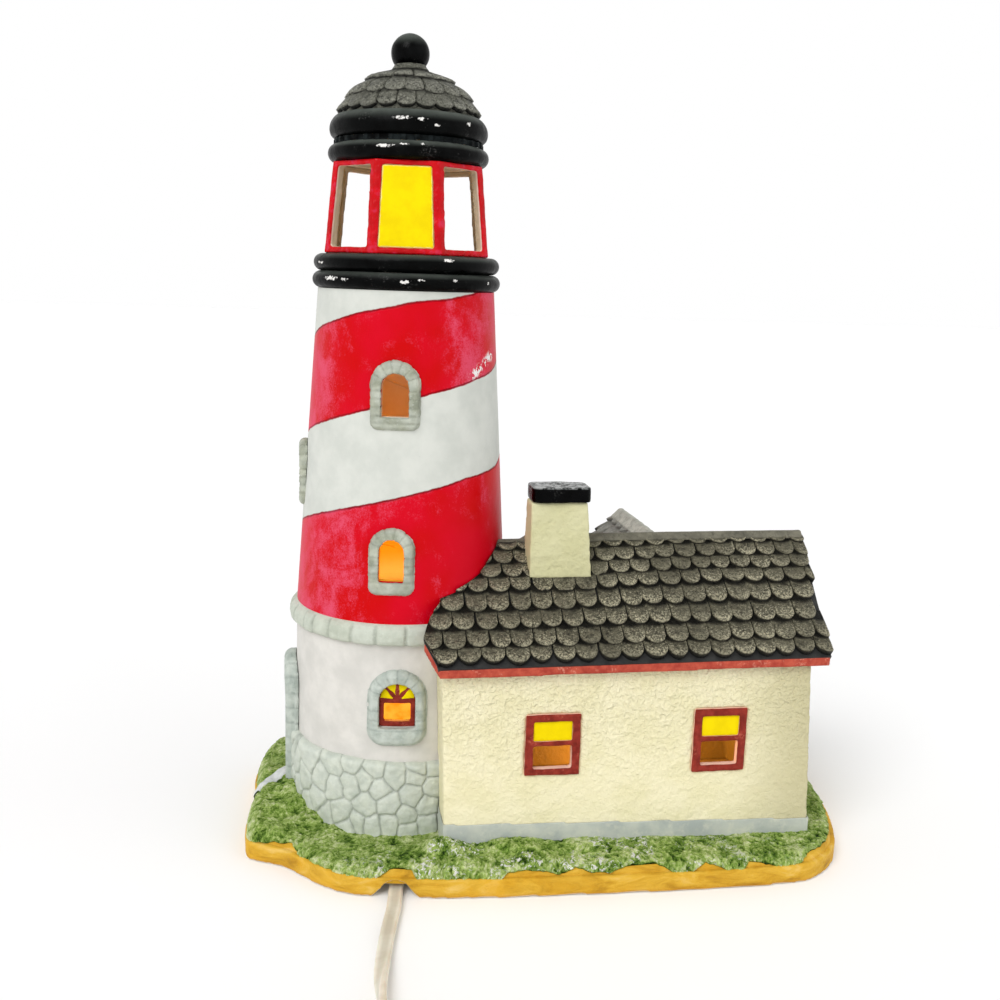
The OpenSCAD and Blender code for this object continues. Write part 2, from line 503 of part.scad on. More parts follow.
// ---- cord, line switch and plug
// route points: x, y, z and how far the flat cord has rolled from lying flat
lead_route = [[0, -12, 3.6, 0], [0, -22, 3.6, 0], [0, -32, 3.6, 0], [-0.6, -37, 3.3, 0], [-1.5, -42, 2.4, 0], [-2.6, -47, 1.7, 0],
              [-4, -53, 1.5, 0], [-5.2, -60, 1.5, 0], [-6.5, -68.5, 1.5, 0], [-7.9, -78.5, 1.5, 0], [-10, -88.5, 1.5, 0],
              [-12, -99, 1.5, 0], [-13.3, -107, 1.6, 10], [-14.3, -114, 1.9, 25], [-15, -121, 2.4, 50], [-15.3, -128, 2.7, 75],
              [-15.5, -134, 2.8, 80], [-15.5, -141, 3.6, 60], [-15.5, -147, 5.6, 30], [-15.5, -153, 7.5, 10],
              [-15.5, -158, 8, 0], [-15.5, -163, 8, 0]];
link_route = [[-15.5, -211, 8, 0], [-15.5, -216, 7.8, 0], [-14.6, -222, 7, 10], [-12.4, -227.5, 5.8, 25], [-9, -232.3, 4.6, 45],
              [-4, -236, 3.5, 65], [1.5, -238.2, 2.8, 80], [7.5, -239, 2.8, 90], [15, -239, 2.8, 90], [23, -238.9, 2.8, 90],
              [30, -238.8, 2.8, 90]];
tail_route = [[42, -238.7, 8, 90], [50, -238, 8, 90], [57, -236.8, 7.3, 85], [64, -235, 5.8, 75], [71, -232.6, 4.3, 60],
              [78, -230, 3.1, 45], [86, -227.5, 2.2, 25], [94, -225.8, 1.7, 10], [102, -225, 2.4, 0], [109, -225, 4.8, 0],
              [114, -225, 6.6, 0], [120, -225, 7.5, 0]];
sides = 10;
function at3(p, i) = [p[i].x, p[i].y, p[i].z];
function dir_at(p, i) = let (a = at3(p, max(i - 1, 0)), b = at3(p, min(i + 1, len(p) - 1))) (b - a) / norm(b - a);
function ring_at(p, i) = let (d = i == 0 || i == len(p) - 1 ? unit_flat(p, i) : dir_at(p, i),
        u = [-d.y, d.x, 0] / norm([d.x, d.y, 0]), v = cross(d, u), r = p[i][3],
        a = u * cos(r) + v * sin(r), b = v * cos(r) - u * sin(r))
    [for (k = [0:sides - 1]) at3(p, i) + a * (cord_w / 2) * cos(360 * k / sides) + b * (cord_t / 2) * sin(360 * k / sides)];
function unit_flat(p, i) = let (d = dir_at(p, i)) [d.x, d.y, 0] / norm([d.x, d.y, 0]);
module tube(p) { polyhedron(
    points = [for (i = [0:len(p) - 1]) each ring_at(p, i)],
    faces = concat([[for (k = [0:sides - 1]) k]],
        [for (i = [0:len(p) - 2]) for (k = [0:sides - 1]) let (a = i * sides + k, b = i * sides + (k + 1) % sides)
            each [[a, a + sides, b + sides], [a, b + sides, b]]],
        [[for (k = [sides - 1:-1:0]) (len(p) - 1) * sides + k]])); }
module cord_lead() { color([0.9, 0.87, 0.78]) place() tube(lead_route); }
module cord_link() { color([0.9, 0.87, 0.78]) place() tube(link_route); }
module cord_tail() { color([0.9, 0.87, 0.78]) place() tube(tail_route); }
coil_x = 36;
coil_y = -206;
module cord_coil() { color([0.9, 0.87, 0.78]) place() translate([coil_x, coil_y, 0])
    ring(coil_r - 5.6, coil_r + 5.6, 0.1, 10.7); }

switch_y = -187;
switch_x = -15.5;
module stadium(l, w) { translate([-w / 2, -(l - w) / 2]) square([w, l - w]);
    for (s = [-1, 1]) translate([0, s * (l - w) / 2]) circle(r = w / 2); }
wheel_off = 3;
module at_switch() { place() translate([switch_x, switch_y, 0]) children(); }
module cord_slots() { for (s = [-1, 1]) translate([-2.65, s * 25.5 - 2.5, 8 - 1.4]) cube([5.3, 5, 2.8]); }
module wheel_slot() { translate([wheel_off, 0, 5.2]) cylinder(h = 5.6, r = 10.9); }
module switch_base() { color([0.92, 0.9, 0.84]) at_switch() difference() {
    union() {
        difference() { linear_extrude(8) stadium(54, 22); translate([0, 0, 1.8]) linear_extrude(8) stadium(50.4, 18.4); }
        translate([wheel_off, 0, 1]) cylinder(h = 10.6, r = 2.2);
        translate([wheel_off, 0, 1]) cylinder(h = 4.2, r = 3.4);
    }
    translate([wheel_off, 0, -1]) cylinder(h = 20, r = 1.1);
    translate([wheel_off, 0, -1]) cylinder(h = 2.4, r = 2.7);
    cord_slots();
    difference() { wheel_slot(); translate([wheel_off, 0, 0]) cylinder(h = 20, r = 2.2); }
} }
module switch_cover() { color([0.92, 0.9, 0.84]) at_switch() difference() {
    union() {
        difference() { translate([0, 0, 8]) linear_extrude(8) stadium(54, 22); translate([0, 0, 7]) linear_extrude(7.2) stadium(50.4, 18.4); }
        translate([wheel_off, 0, 11.6]) cylinder(h = 3, r = 3.4);
    }
    translate([wheel_off, 0, 10]) cylinder(h = 4, r = 0.9);
    cord_slots();
    wheel_slot();
} }
module switch_wheel() { color([0.9, 0.88, 0.82]) at_switch() translate([wheel_off, 0, 5.5]) difference() {
    cylinder(h = 5, r = 10.5);
    translate([0, 0, -1]) cylinder(h = 7, r = 2.28);
    for (k = [0:35]) rotate([0, 0, k * 10]) translate([10.5, 0, -1]) cylinder(h = 7, r = 0.35, $fn = 16);
} }
module switch_contacts() { color([0.8, 0.65, 0.3]) at_switch() for (s = [-1, 1])
    translate([-3, s * 16 - 4, 1.8]) cube([6, 8, 0.6]); }
module switch_screw() { color([0.75, 0.75, 0.75]) at_switch() translate([wheel_off, 0, 0]) difference() {
    union() { translate([0, 0, 0.3]) cylinder(h = 1.1, r = 2.4); translate([0, 0, 1.3]) cylinder(h = 11, r = 0.88); }
    translate([-3, -0.3, 0]) cube([6, 0.6, 0.8]);
} }

module plug_body() { color([0.93, 0.91, 0.86]) place() translate([120, -225, 7.5]) difference() {
    intersection() {
        translate([0, 0, -10]) linear_extrude(20) polygon([[0, -3.6], [7, -4.6], [12, -9.6], [16, -11.4], [26, -11.8],
            [26, 11.8], [16, 11.4], [12, 9.6], [7, 4.6], [0, 3.6]]);
        along_x2(0, 26);
    }
    for (s = [-1, 1]) translate([20, s * 6.35 - 0.76, -3.2]) cube([8, 1.52, 6.4]);
} }
module along_x2(x0, x1) { translate([0, 15, 0]) rotate([90, 0, 0]) linear_extrude(30) polygon([[x0, -2.6], [7, -3.2], [12, -6.2],
    [17, -7.2], [x1, -7.2], [x1, 7.2], [17, 7.2], [12, 6.2], [7, 3.2], [x0, 2.6]]); }
module plug_blades() { color([0.8, 0.72, 0.45]) place() translate([120, -225, 7.5]) for (s = [-1, 1])
    translate([20, s * 6.35 - 0.76, -3.2]) difference() {
        cube([22, 1.52, 6.4]);
        translate([18, -1, 3.2]) rotate([-90, 0, 0]) cylinder(h = 4, r = 1.6);
    } }

sand_base();
grass_bank();
door_path();
stone_foundation();
tower_wall();
tower_floor();
stone_band();
upper_window_surround();
middle_window_surround();
ground_window_surround();
ground_window_sash();
fanlight_panes();
side_window_surround();
door_surround();
tower_door();
gallery_floor();
gallery_lower_ring();
gallery_upper_ring();
lantern_frame();
lantern_panes();
dome_lower_ring();
dome_dentil_course();
dome_upper_ring();
dome_roof();
dome_collar();
ball_finial();
cottage_walls();
cottage_plinth();
cottage_roof();
roof_trim();
ridge_cap();
chimney_stack();
chimney_cap();
cottage_window_frames();
cottage_window_panes();
wing_walls();
wing_roof();
wing_trim();
wing_ridge_cap();
clip_plate();
socket_body();
socket_shell();
socket_contact();
socket_cap();
bulb_glass();
bulb_cap();
bulb_filament();
bulb_tip();
cord_lead();
switch_base();
switch_cover();
switch_contacts();
switch_screw();
switch_wheel();
cord_link();
cord_coil();
cord_tail();
plug_body();
plug_blades();
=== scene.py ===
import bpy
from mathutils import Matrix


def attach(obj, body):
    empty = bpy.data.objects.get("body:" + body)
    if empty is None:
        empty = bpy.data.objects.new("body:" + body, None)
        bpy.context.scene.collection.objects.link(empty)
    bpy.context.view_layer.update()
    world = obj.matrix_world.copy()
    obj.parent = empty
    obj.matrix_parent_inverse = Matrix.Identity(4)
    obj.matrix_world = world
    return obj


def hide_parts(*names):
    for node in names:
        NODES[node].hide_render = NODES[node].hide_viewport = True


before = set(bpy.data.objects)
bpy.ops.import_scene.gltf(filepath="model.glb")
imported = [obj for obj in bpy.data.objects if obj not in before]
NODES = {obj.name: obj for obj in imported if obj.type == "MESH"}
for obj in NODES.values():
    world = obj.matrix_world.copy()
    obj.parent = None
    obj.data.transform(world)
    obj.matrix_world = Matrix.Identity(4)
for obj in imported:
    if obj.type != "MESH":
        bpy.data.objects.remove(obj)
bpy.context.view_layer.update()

import math
import random

import bmesh
import bpy
import numpy as np
from mathutils import Matrix, Vector, noise
from mathutils.bvhtree import BVHTree

SHIFT = np.array([-58.0, 6.0, 0.0])   # the tower's axis in the row frame, mm
scene = bpy.context.scene


def P(x, y, z):
    return ((x + SHIFT[0]) / 1000, (y + SHIFT[1]) / 1000, z / 1000)


# ------------------------------------------------------------------ camera
def make_camera():
    cam = bpy.data.cameras.new("camera")
    cam.sensor_fit = "HORIZONTAL"
    cam.sensor_width = 36.0
    cam.lens = 41.66
    cam.clip_start = 0.01
    obj = bpy.data.objects.new("camera", cam)
    scene.collection.objects.link(obj)
    yaw, pitch, roll = math.radians(9.9), math.radians(10.95), math.radians(1.86)
    f = Vector((math.sin(yaw) * math.cos(pitch), math.cos(yaw) * math.cos(pitch), -math.sin(pitch)))
    r = Vector((math.cos(yaw), -math.sin(yaw), 0.0))
    u = r.cross(f)
    right = math.cos(roll) * r + math.sin(roll) * u
    up = -math.sin(roll) * r + math.cos(roll) * u
    m = Matrix((right, up, -f)).transposed().to_4x4()
    m.translation = Vector((-0.0968, -0.4350, 0.2152))
    obj.matrix_world = m
    scene.camera = obj


make_camera()


# ------------------------------------------------------------------ mesh helpers
def link(obj):
    scene.collection.objects.link(obj)
    return obj


def mesh_obj(name, verts, faces, smooth=True, mats=(), face_mats=None, mm=True):
    me = bpy.data.meshes.new(name)
    v = np.asarray(verts, float)
    if mm:
        v = (v + SHIFT) / 1000.0
    me.from_pydata([tuple(p) for p in v], [], [tuple(int(i) for i in f) for f in faces])
    me.update()
    if smooth:
        me.polygons.foreach_set("use_smooth", [True] * len(me.polygons))
    obj = bpy.data.objects.new(name, me)
    for m in mats:
        me.materials.append(m)
    if face_mats is not None:
        me.polygons.foreach_set("material_index", [int(i) for i in face_mats])
    me.update()
    return link(obj)


def grid_faces(nu, nv, wrap_u=False, wrap_v=False, base=0):
    out = []
    for i in range(nu if wrap_u else nu - 1):
        for j in range(nv if wrap_v else nv - 1):
            a = base + i * nv + j
            b = base + ((i + 1) % nu) * nv + j
            c = base + ((i + 1) % nu) * nv + (j + 1) % nv
            d = base + i * nv + (j + 1) % nv
            out.append((a, b, c, d))
    return out


def co_of(obj):
    n = len(obj.data.vertices)
    a = np.empty(n * 3, np.float64)
    obj.data.vertices.foreach_get("co", a)
    return a.reshape(-1, 3) * 1000.0 - SHIFT


def normals_of(obj):
    n = len(obj.data.vertices)
    a = np.empty(n * 3, np.float64)
    obj.data.vertices.foreach_get("normal", a)
    return a.reshape(-1, 3)


def set_co(obj, a):
    obj.data.vertices.foreach_set("co", ((a + SHIFT) / 1000.0).ravel())
    obj.data.update()


def attr(obj, name, values):
    at = obj.data.attributes.new(name, "FLOAT", "POINT")
    at.data.foreach_set("value", np.asarray(values, np.float32))


def nz(p, scale, seed=0.0):
    """Smooth noise, about -1 to 1, at points p in mm with that wavelength."""
    q = np.asarray(p, float) / scale + seed
    return np.array([noise.noise(Vector(v)) for v in q])


def copy_clean(node, name):
    me = NODES[node].data.copy()
    bm = bmesh.new()
    bm.from_mesh(me)
    bmesh.ops.remove_doubles(bm, verts=bm.verts, dist=2e-6)
    bm.to_mesh(me)
    bm.free()
    me.name = name
    obj = bpy.data.objects.new(name, me)
    return link(obj)


def apply_mods(obj):
    dg = bpy.context.evaluated_depsgraph_get()
    me = bpy.data.meshes.new_from_object(obj.evaluated_get(dg))
    old = obj.data
    obj.modifiers.clear()
    obj.data = me
    bpy.data.meshes.remove(old)
    me.name = obj.name
    return obj


LAMP_UNIT = ("switch_base", "switch_cover", "plug_body", "socket_body", "socket_cap", "clip_plate")


def soften(node, name, voxel, smooth_n, mat, disp=None, dec=None, smooth_f=0.5):
    """A copy of a CAD node with the soft edges of a slip casting."""
    obj = copy_clean(node, name)
    m = obj.modifiers.new("r", "REMESH")
    m.mode = "VOXEL"
    m.voxel_size = voxel / 1000.0
    m.use_smooth_shade = True
    if smooth_n:
        s = obj.modifiers.new("s", "SMOOTH")
        s.factor = smooth_f
        s.iterations = smooth_n
    apply_mods(obj)
    if disp is not None:
        c, n = co_of(obj), normals_of(obj)
        d = disp(c, n)
        set_co(obj, c + n * d[:, None])
    if dec:
        m = obj.modifiers.new("d", "DECIMATE")
        m.ratio = dec
        apply_mods(obj)
    obj.data.materials.clear()
    obj.data.materials.append(mat)
    obj.data.polygons.foreach_set("use_smooth", [True] * len(obj.data.polygons))
    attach(obj, "lamp_unit" if node in LAMP_UNIT else "lighthouse")
    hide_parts(node)
    return obj


def revolve(name, profile, n, mat, disp=None, closed=False, cx=0.0, cy=0.0):
    """profile: (r, z) points from the underside outwards and up; disp(theta, i) adds to r."""
    vs = []
    k = len(profile)
    for i in range(n):
        t = 2 * math.pi * i / n
        for j, (r, z) in enumerate(profile):
            d = disp(t, j, r, z) if disp else (0.0, 0.0)
            rr = max(r + d[0], 0.0)
            vs.append((cx + rr * math.sin(t), cy - rr * math.cos(t), z + d[1]))
    fs = grid_faces(n, k, wrap_u=True, wrap_v=closed)
    obj = mesh_obj(name, vs, fs, mats=[mat])
    return obj


def fillet(points, seg=0.5):
    """Resamples a profile so that no step is longer than seg mm."""
    out = []
    for a, b in zip(points[:-1], points[1:]):
        L = math.dist(a, b)
        m = max(1, int(math.ceil(L / seg)))
        for i in range(m):
            t = i / m
            out.append((a[0] + (b[0] - a[0]) * t, a[1] + (b[1] - a[1]) * t))
    out.append(points[-1])
    return out


def arc(cx, cz, r, a0, a1, n):
    return [(cx + r * math.cos(math.radians(a0 + (a1 - a0) * i / n)), cz + r * math.sin(math.radians(a0 + (a1 - a0) * i / n))) for i in range(n + 1)]


# ------------------------------------------------------------------ material helpers
class NT:
    def __init__(self, name):
        self.m = bpy.data.materials.new(name)
        self.m.use_nodes = True
        self.t = self.m.node_tree
        for x in list(self.t.nodes):
            self.t.nodes.remove(x)
        self.out = self.t.nodes.new("ShaderNodeOutputMaterial")
        self.p = self.t.nodes.new("ShaderNodeBsdfPrincipled")
        self.t.links.new(self.p.outputs[0], self.out.inputs[0])
        self._obj = None
        self._mm = None

    def node(self, kind, **kw):
        n = self.t.nodes.new(kind)
        for k, v in kw.items():
            setattr(n, k, v)
        return n

    def put(self, sock, v):
        if v is None:
            return
        if isinstance(v, bpy.types.NodeSocket):
            self.t.links.new(v, sock)
        else:
            if sock.type == "RGBA" and len(v) == 3:
                v = (*v, 1.0)
            sock.default_value = v

    def mm(self):
        """Position in mm from the tower's axis."""
        if self._mm is None:
            tc = self.node("ShaderNodeTexCoord")
            a = self.node("ShaderNodeVectorMath", operation="MULTIPLY_ADD")
            self.put(a.inputs[0], tc.outputs["Object"])
            a.inputs[1].default_value = (1000, 1000, 1000)
            a.inputs[2].default_value = (58, -6, 0)
            self._mm = a.outputs[0]
        return self._mm

    def xyz(self):
        s = self.node("ShaderNodeSeparateXYZ")
        self.put(s.inputs[0], self.mm())
        return s.outputs[0], s.outputs[1], s.outputs[2]

    def math(self, op, a, b=None, c=None, clamp=False):
        n = self.node("ShaderNodeMath", operation=op)
        n.use_clamp = clamp
        self.put(n.inputs[0], a)
        if b is not None:
            self.put(n.inputs[1], b)
        if c is not None:
            self.put(n.inputs[2], c)
        return n.outputs[0]

    def noise(self, scale_mm, detail=3.0, rough=0.5, vec=None, dist=0.0, kind="FBM", stretch=None):
        n = self.node("ShaderNodeTexNoise")
        v = vec if vec is not None else self.mm()
        if stretch:
            w = self.node("ShaderNodeVectorMath", operation="MULTIPLY")
            self.put(w.inputs[0], v)
            w.inputs[1].default_value = stretch
            v = w.outputs[0]
        self.put(n.inputs["Vector"], v)
        n.inputs["Scale"].default_value = 1.0 / scale_mm
        n.inputs["Detail"].default_value = detail
        n.inputs["Roughness"].default_value = rough
        n.inputs["Distortion"].default_value = dist
        return n.outputs[0]

    def vor(self, scale_mm, feature="F1", rand=1.0, vec=None):
        n = self.node("ShaderNodeTexVoronoi", feature=feature)
        self.put(n.inputs["Vector"], vec if vec is not None else self.mm())
        n.inputs["Scale"].default_value = 1.0 / scale_mm
        n.inputs["Randomness"].default_value = rand
        return n.outputs["Distance"]

    def ss(self, v, lo, hi):
        """Smooth step from 0 at lo to 1 at hi."""
        n = self.node("ShaderNodeMapRange", interpolation_type="SMOOTHSTEP")
        self.put(n.inputs["Value"], v)
        self.put(n.inputs["From Min"], lo)
        self.put(n.inputs["From Max"], hi)
        return n.outputs[0]

    def lin(self, v, a, b, c, d):
        n = self.node("ShaderNodeMapRange")
        self.put(n.inputs["Value"], v)
        for k, x in zip(("From Min", "From Max", "To Min", "To Max"), (a, b, c, d)):
            self.put(n.inputs[k], x)
        return n.outputs[0]

    def ramp(self, v, stops, mode="LINEAR"):
        n = self.node("ShaderNodeValToRGB")
        n.color_ramp.interpolation = mode
        els = n.color_ramp.elements
        while len(els) < len(stops):
            els.new(0.5)
        for e, (pos, col) in zip(els, stops):
            e.position = pos
        for e, (pos, col) in zip(els, stops):
            e.color = (*col, 1.0) if not isinstance(col, (int, float)) else (col, col, col, 1.0)
        self.put(n.inputs[0], v)
        return n.outputs[0]

    def mix(self, f, a, b, mode="MIX"):
        n = self.node("ShaderNodeMix", data_type="RGBA", blend_type=mode)
        self.put(n.inputs[0], f)
        self.put(n.inputs[6], a)
        self.put(n.inputs[7], b)
        return n.outputs[2]

    def attr(self, name):
        n = self.node("ShaderNodeAttribute", attribute_name=name)
        return n.outputs["Fac"]

    def curve(self, x, pts, x0, x1, y0, y1):
        """A piecewise straight function of x through pts."""
        els = [((px - x0) / (x1 - x0), (py - y0) / (y1 - y0)) for px, py in pts]
        t = self.lin(x, x0, x1, 0.0, 1.0)
        r = self.ramp(t, els)
        return self.lin(r, 0.0, 1.0, y0, y1)

    def bump(self, h, dist_mm, strength=1.0, normal=None):
        n = self.node("ShaderNodeBump")
        n.inputs["Strength"].default_value = strength
        n.inputs["Distance"].default_value = dist_mm / 1000.0
        self.put(n.inputs["Height"], h)
        if normal is not None:
            self.put(n.inputs["Normal"], normal)
        return n.outputs[0]

    def done(self, color=None, rough=0.6, normal=None, spec=0.5, **kw):
        p = self.p
        if color is not None:
            self.put(p.inputs["Base Color"], color)
        self.put(p.inputs["Roughness"], rough)
        if normal is not None:
            self.put(p.inputs["Normal"], normal)
        p.inputs["Specular IOR Level"].default_value = spec
        for k, v in kw.items():
            self.put(p.inputs[k], v)
        return self.m


def lin_rgb(r, g, b):
    def f(c):
        c = c / 255.0
        return c / 12.92 if c <= 0.04045 else ((c + 0.055) / 1.055) ** 2.4
    return (f(r), f(g), f(b))


C = lin_rgb


def shaft_r(z):
    return 40.6 - (z - 90.0) * (40.6 - 32.9) / 118.5 if z >= 90 else 41.3 - (z - 7.0) * 0.7 / 83.0


# theta of a point from straight ahead towards +X, in degrees, as a node
def theta_node(t):
    x, y, z = t.xyz()
    a = t.math("ARCTAN2", x, t.math("MULTIPLY", y, -1.0))
    return t.math("MULTIPLY", a, 57.29578), x, y, z


def radius_node(t, x, y):
    return t.math("SQRT", t.math("ADD", t.math("MULTIPLY", x, x), t.math("MULTIPLY", y, y)))


def mat_tower():
    t = NT("stripe_paint")
    th, x, y, z = theta_node(t)
    r = radius_node(t, x, y)
    wob = t.math("MULTIPLY", t.math("SUBTRACT", t.noise(9, 3), 0.5), 1.1)
    fine = t.math("MULTIPLY", t.math("SUBTRACT", t.noise(1.6, 3), 0.5), 0.5)
    zz = t.math("ADD", z, t.math("ADD", wob, fine))
    Y0, Y1 = 60.0, 260.0
    a1 = t.curve(th, [(-180, 171), (-72.5, 194.9), (-36.8, 200.8), (-1.6, 205.3), (15.8, 206.3), (42, 208.9), (180, 240)], -180, 180, Y0, Y1)
    b1 = t.curve(th, [(-180, 135), (-70, 159.2), (-33.8, 165.9), (4.8, 172.5), (33.6, 176.8), (62.5, 180.5), (180, 204)], -180, 180, Y0, Y1)
    a2 = t.curve(th, [(-180, 101.5), (-72, 125.2), (-46, 130.1), (-18.7, 134.9), (1.4, 138.1), (32.4, 142.9), (62.6, 145), (180, 171)], -180, 180, Y0, Y1)
    b2 = t.curve(th, [(-180, 62), (20, 84), (60, 93), (180, 135)], -180, 180, Y0, Y1)
    a3 = t.curve(th, [(-180, 62), (60, 70), (128, 90), (180, 101.5)], -180, 180, Y0, Y1)
    b2 = t.math("MAXIMUM", b2, 89.2)
    b0 = t.curve(th, [(-180, 204), (-155, 209), (-120, 222), (180, 260)], -180, 180, Y0, Y1)
    soft = 0.22

    def above(e):
        d = t.math("SUBTRACT", zz, e)
        return t.ss(d, -soft, soft)

    def band(lo, hi):
        return t.math("MULTIPLY", above(lo), t.math("SUBTRACT", 1.0, above(hi)))
    red1 = band(b1, a1)
    red2 = band(b2, a2)
    red3 = t.math("MULTIPLY", t.math("SUBTRACT", 1.0, above(a3)), t.ss(z, 89.0, 89.4))
    red = t.math("MAXIMUM", t.math("MAXIMUM", t.math("MAXIMUM", red1, red2), red3), above(b0))
    # engraved line along each edge of a stripe, tinted dark red as painted shade in the groove
    def groove(e, w, sh):
        d = t.math("ABSOLUTE", t.math("SUBTRACT", t.math("SUBTRACT", zz, e), sh))
        return t.math("SUBTRACT", 1.0, t.ss(d, 0.05, w))
    g = t.math("MAXIMUM", t.math("MAXIMUM", groove(a1, 0.6, -0.35), groove(b1, 0.55, 0.3)), t.math("MAXIMUM", groove(a2, 0.6, -0.35), groove(b0, 0.55, 0.3)))
    g = t.math("MULTIPLY", g, t.ss(z, 90.5, 91.5))
    # red paint: scarlet, rubbed to a grainy pink in cloudy patches
    cloud = t.noise(15, 4, 0.6, dist=0.8)
    streak = t.noise(5.0, 5, 0.7, stretch=(1.0, 1.0, 0.6))
    grain = t.noise(0.6, 4, 0.8)
    upper = t.ss(z, 148.0, 156.0)
    side_up = t.math("ADD", t.ss(th, 8.0, 34.0), t.math("SUBTRACT", 1.0, t.ss(th, -62.0, -30.0)))
    side_low = t.math("ADD", t.math("SUBTRACT", 1.0, t.ss(th, -48.0, 4.0)), t.math("MULTIPLY", t.ss(z, 122.0, 140.0), 0.35))
    side_low = t.math("ADD", side_low, t.ss(th, 100.0, 170.0))
    side = t.math("ADD", t.math("MULTIPLY", side_up, upper), t.math("MULTIPLY", side_low, t.math("SUBTRACT", 1.0, upper)))
    amt = t.math("ADD", t.math("MULTIPLY", cloud, 0.9), t.math("MULTIPLY", streak, 0.65))
    amt = t.math("ADD", amt, t.math("MULTIPLY", t.math("SUBTRACT", grain, 0.5), 0.75))
    amt = t.math("ADD", amt, t.math("MULTIPLY", side, 0.26))
    pink = t.ss(amt, 0.86, 1.24)
    col_red = t.mix(t.ss(t.noise(22, 2), 0.35, 0.65), C(194, 0, 4), C(202, 0, 28))
    col_red = t.mix(t.math("MULTIPLY", pink, 0.68), col_red, C(218, 88, 118))
    wear = t.math("ADD", t.noise(1.5, 4, 0.7), t.math("MULTIPLY", t.noise(5, 2), 0.5))
    wl = t.math("ABSOLUTE", t.math("SUBTRACT", z, t.lin(th, 35.0, 60.0, 178.2, 186.5)))
    wz = t.math("MULTIPLY", t.math("SUBTRACT", 1.0, t.ss(wl, 0.8, 3.0)), t.math("MULTIPLY", t.ss(th, 33.0, 40.0), t.math("SUBTRACT", 1.0, t.ss(th, 60.0, 66.0))))
    wear = t.math("MULTIPLY", t.ss(wear, 0.76, 0.82), wz)
    col_red = t.mix(wear, col_red, C(232, 230, 228))
    mott = t.noise(11, 4, 0.6)
    white = t.mix(t.ss(mott, 0.3, 0.7), C(194, 197, 190), C(206, 208, 201))
    lowwhite = t.mix(t.ss(mott, 0.3, 0.75), C(198, 196, 190), C(214, 211, 205))
    # painted light: the lower white wall beside the cottage is painted lighter and warmer, lifting the cottage's shade
    # off it
    painted_light_mask = t.math("MULTIPLY", t.ss(th, 8.0, 40.0), t.math("SUBTRACT", 1.0, t.ss(th, 95.0, 150.0)))
    lowwhite = t.mix(t.math("MULTIPLY", painted_light_mask, 0.9), lowwhite, C(248, 238, 222))
    white = t.mix(t.ss(z, 84, 90), lowwhite, white)
    scuff = t.ss(t.math("MULTIPLY", t.noise(0.8, 2, 0.6), t.noise(7, 3)), 0.42, 0.5)
    white = t.mix(t.math("MULTIPLY", scuff, 0.5), white, C(186, 186, 180))
    col = t.mix(red, white, col_red)
    # painted shade: the engraved lines are darkened to a deep red
    col = t.mix(t.math("MULTIPLY", g, t.math("ADD", 0.25, t.math("MULTIPLY", t.noise(6, 2), 0.85))), col, C(104, 4, 18))
    # bare clay inside and in the window reveals, with the bulb's warm light painted on it in the lower storeys
    rz = t.lin(z, 90.0, 208.5, 40.6, 32.9)
    rz = t.math("MINIMUM", rz, 41.0)
    inner = t.ss(t.math("SUBTRACT", rz, r), 0.35, 0.6)
    bare = t.mix(t.noise(3, 4), C(222, 200, 168), C(236, 218, 190))
    # painted light: the clay is painted yellow in the middle storey and orange in the ground storey, as the bulb's
    # light
    bare = t.mix(t.math("MULTIPLY", t.ss(z, 90.0, 100.0), t.math("SUBTRACT", 1.0, t.ss(z, 124.0, 140.0))), bare, C(232, 186, 64))
    painted_bulb_light = t.mix(t.ss(t.noise(7, 3, 0.6), 0.35, 0.65), C(176, 78, 10), C(226, 160, 44))
    bare = t.mix(t.math("MULTIPLY", t.ss(z, 16.0, 22.0), t.math("SUBTRACT", 1.0, t.ss(z, 82.0, 90.0))), bare, painted_bulb_light)
    col = t.mix(inner, col, bare)
    h = t.math("ADD", t.math("MULTIPLY", t.noise(16, 2), 0.9), t.math("MULTIPLY", t.noise(1.3, 4, 0.6), 0.10))
    h = t.math("SUBTRACT", h, t.math("MULTIPLY", g, 0.42))
    h = t.math("SUBTRACT", h, t.math("MULTIPLY", red, 0.12))
    rough = t.lin(pink, 0.0, 1.0, 0.34, 0.55)
    rough = t.mix(red, (0.5, 0.5, 0.5), rough)
    return t.done(col, rough, t.bump(h, 0.9, 0.75), spec=0.08)


def mat_paint(name, base, alt, rough=0.6, mott=6.0, bump_mm=0.12, grain=0.7, spec=0.4, dark=None, dark_amt=0.25):
    t = NT(name)
    m = t.noise(mott, 4, 0.6)
    col = t.mix(t.ss(m, 0.33, 0.67), base, alt)
    if dark is not None:
        col = t.mix(t.math("MULTIPLY", t.ss(t.noise(mott * 0.35, 4, 0.7), 0.5, 0.72), dark_amt), col, dark)
    h = t.math("ADD", t.noise(grain, 4, 0.6), t.math("MULTIPLY", t.noise(grain * 5, 2), 1.2))
    return t.done(col, rough, t.bump(h, bump_mm, 0.7), spec=spec)


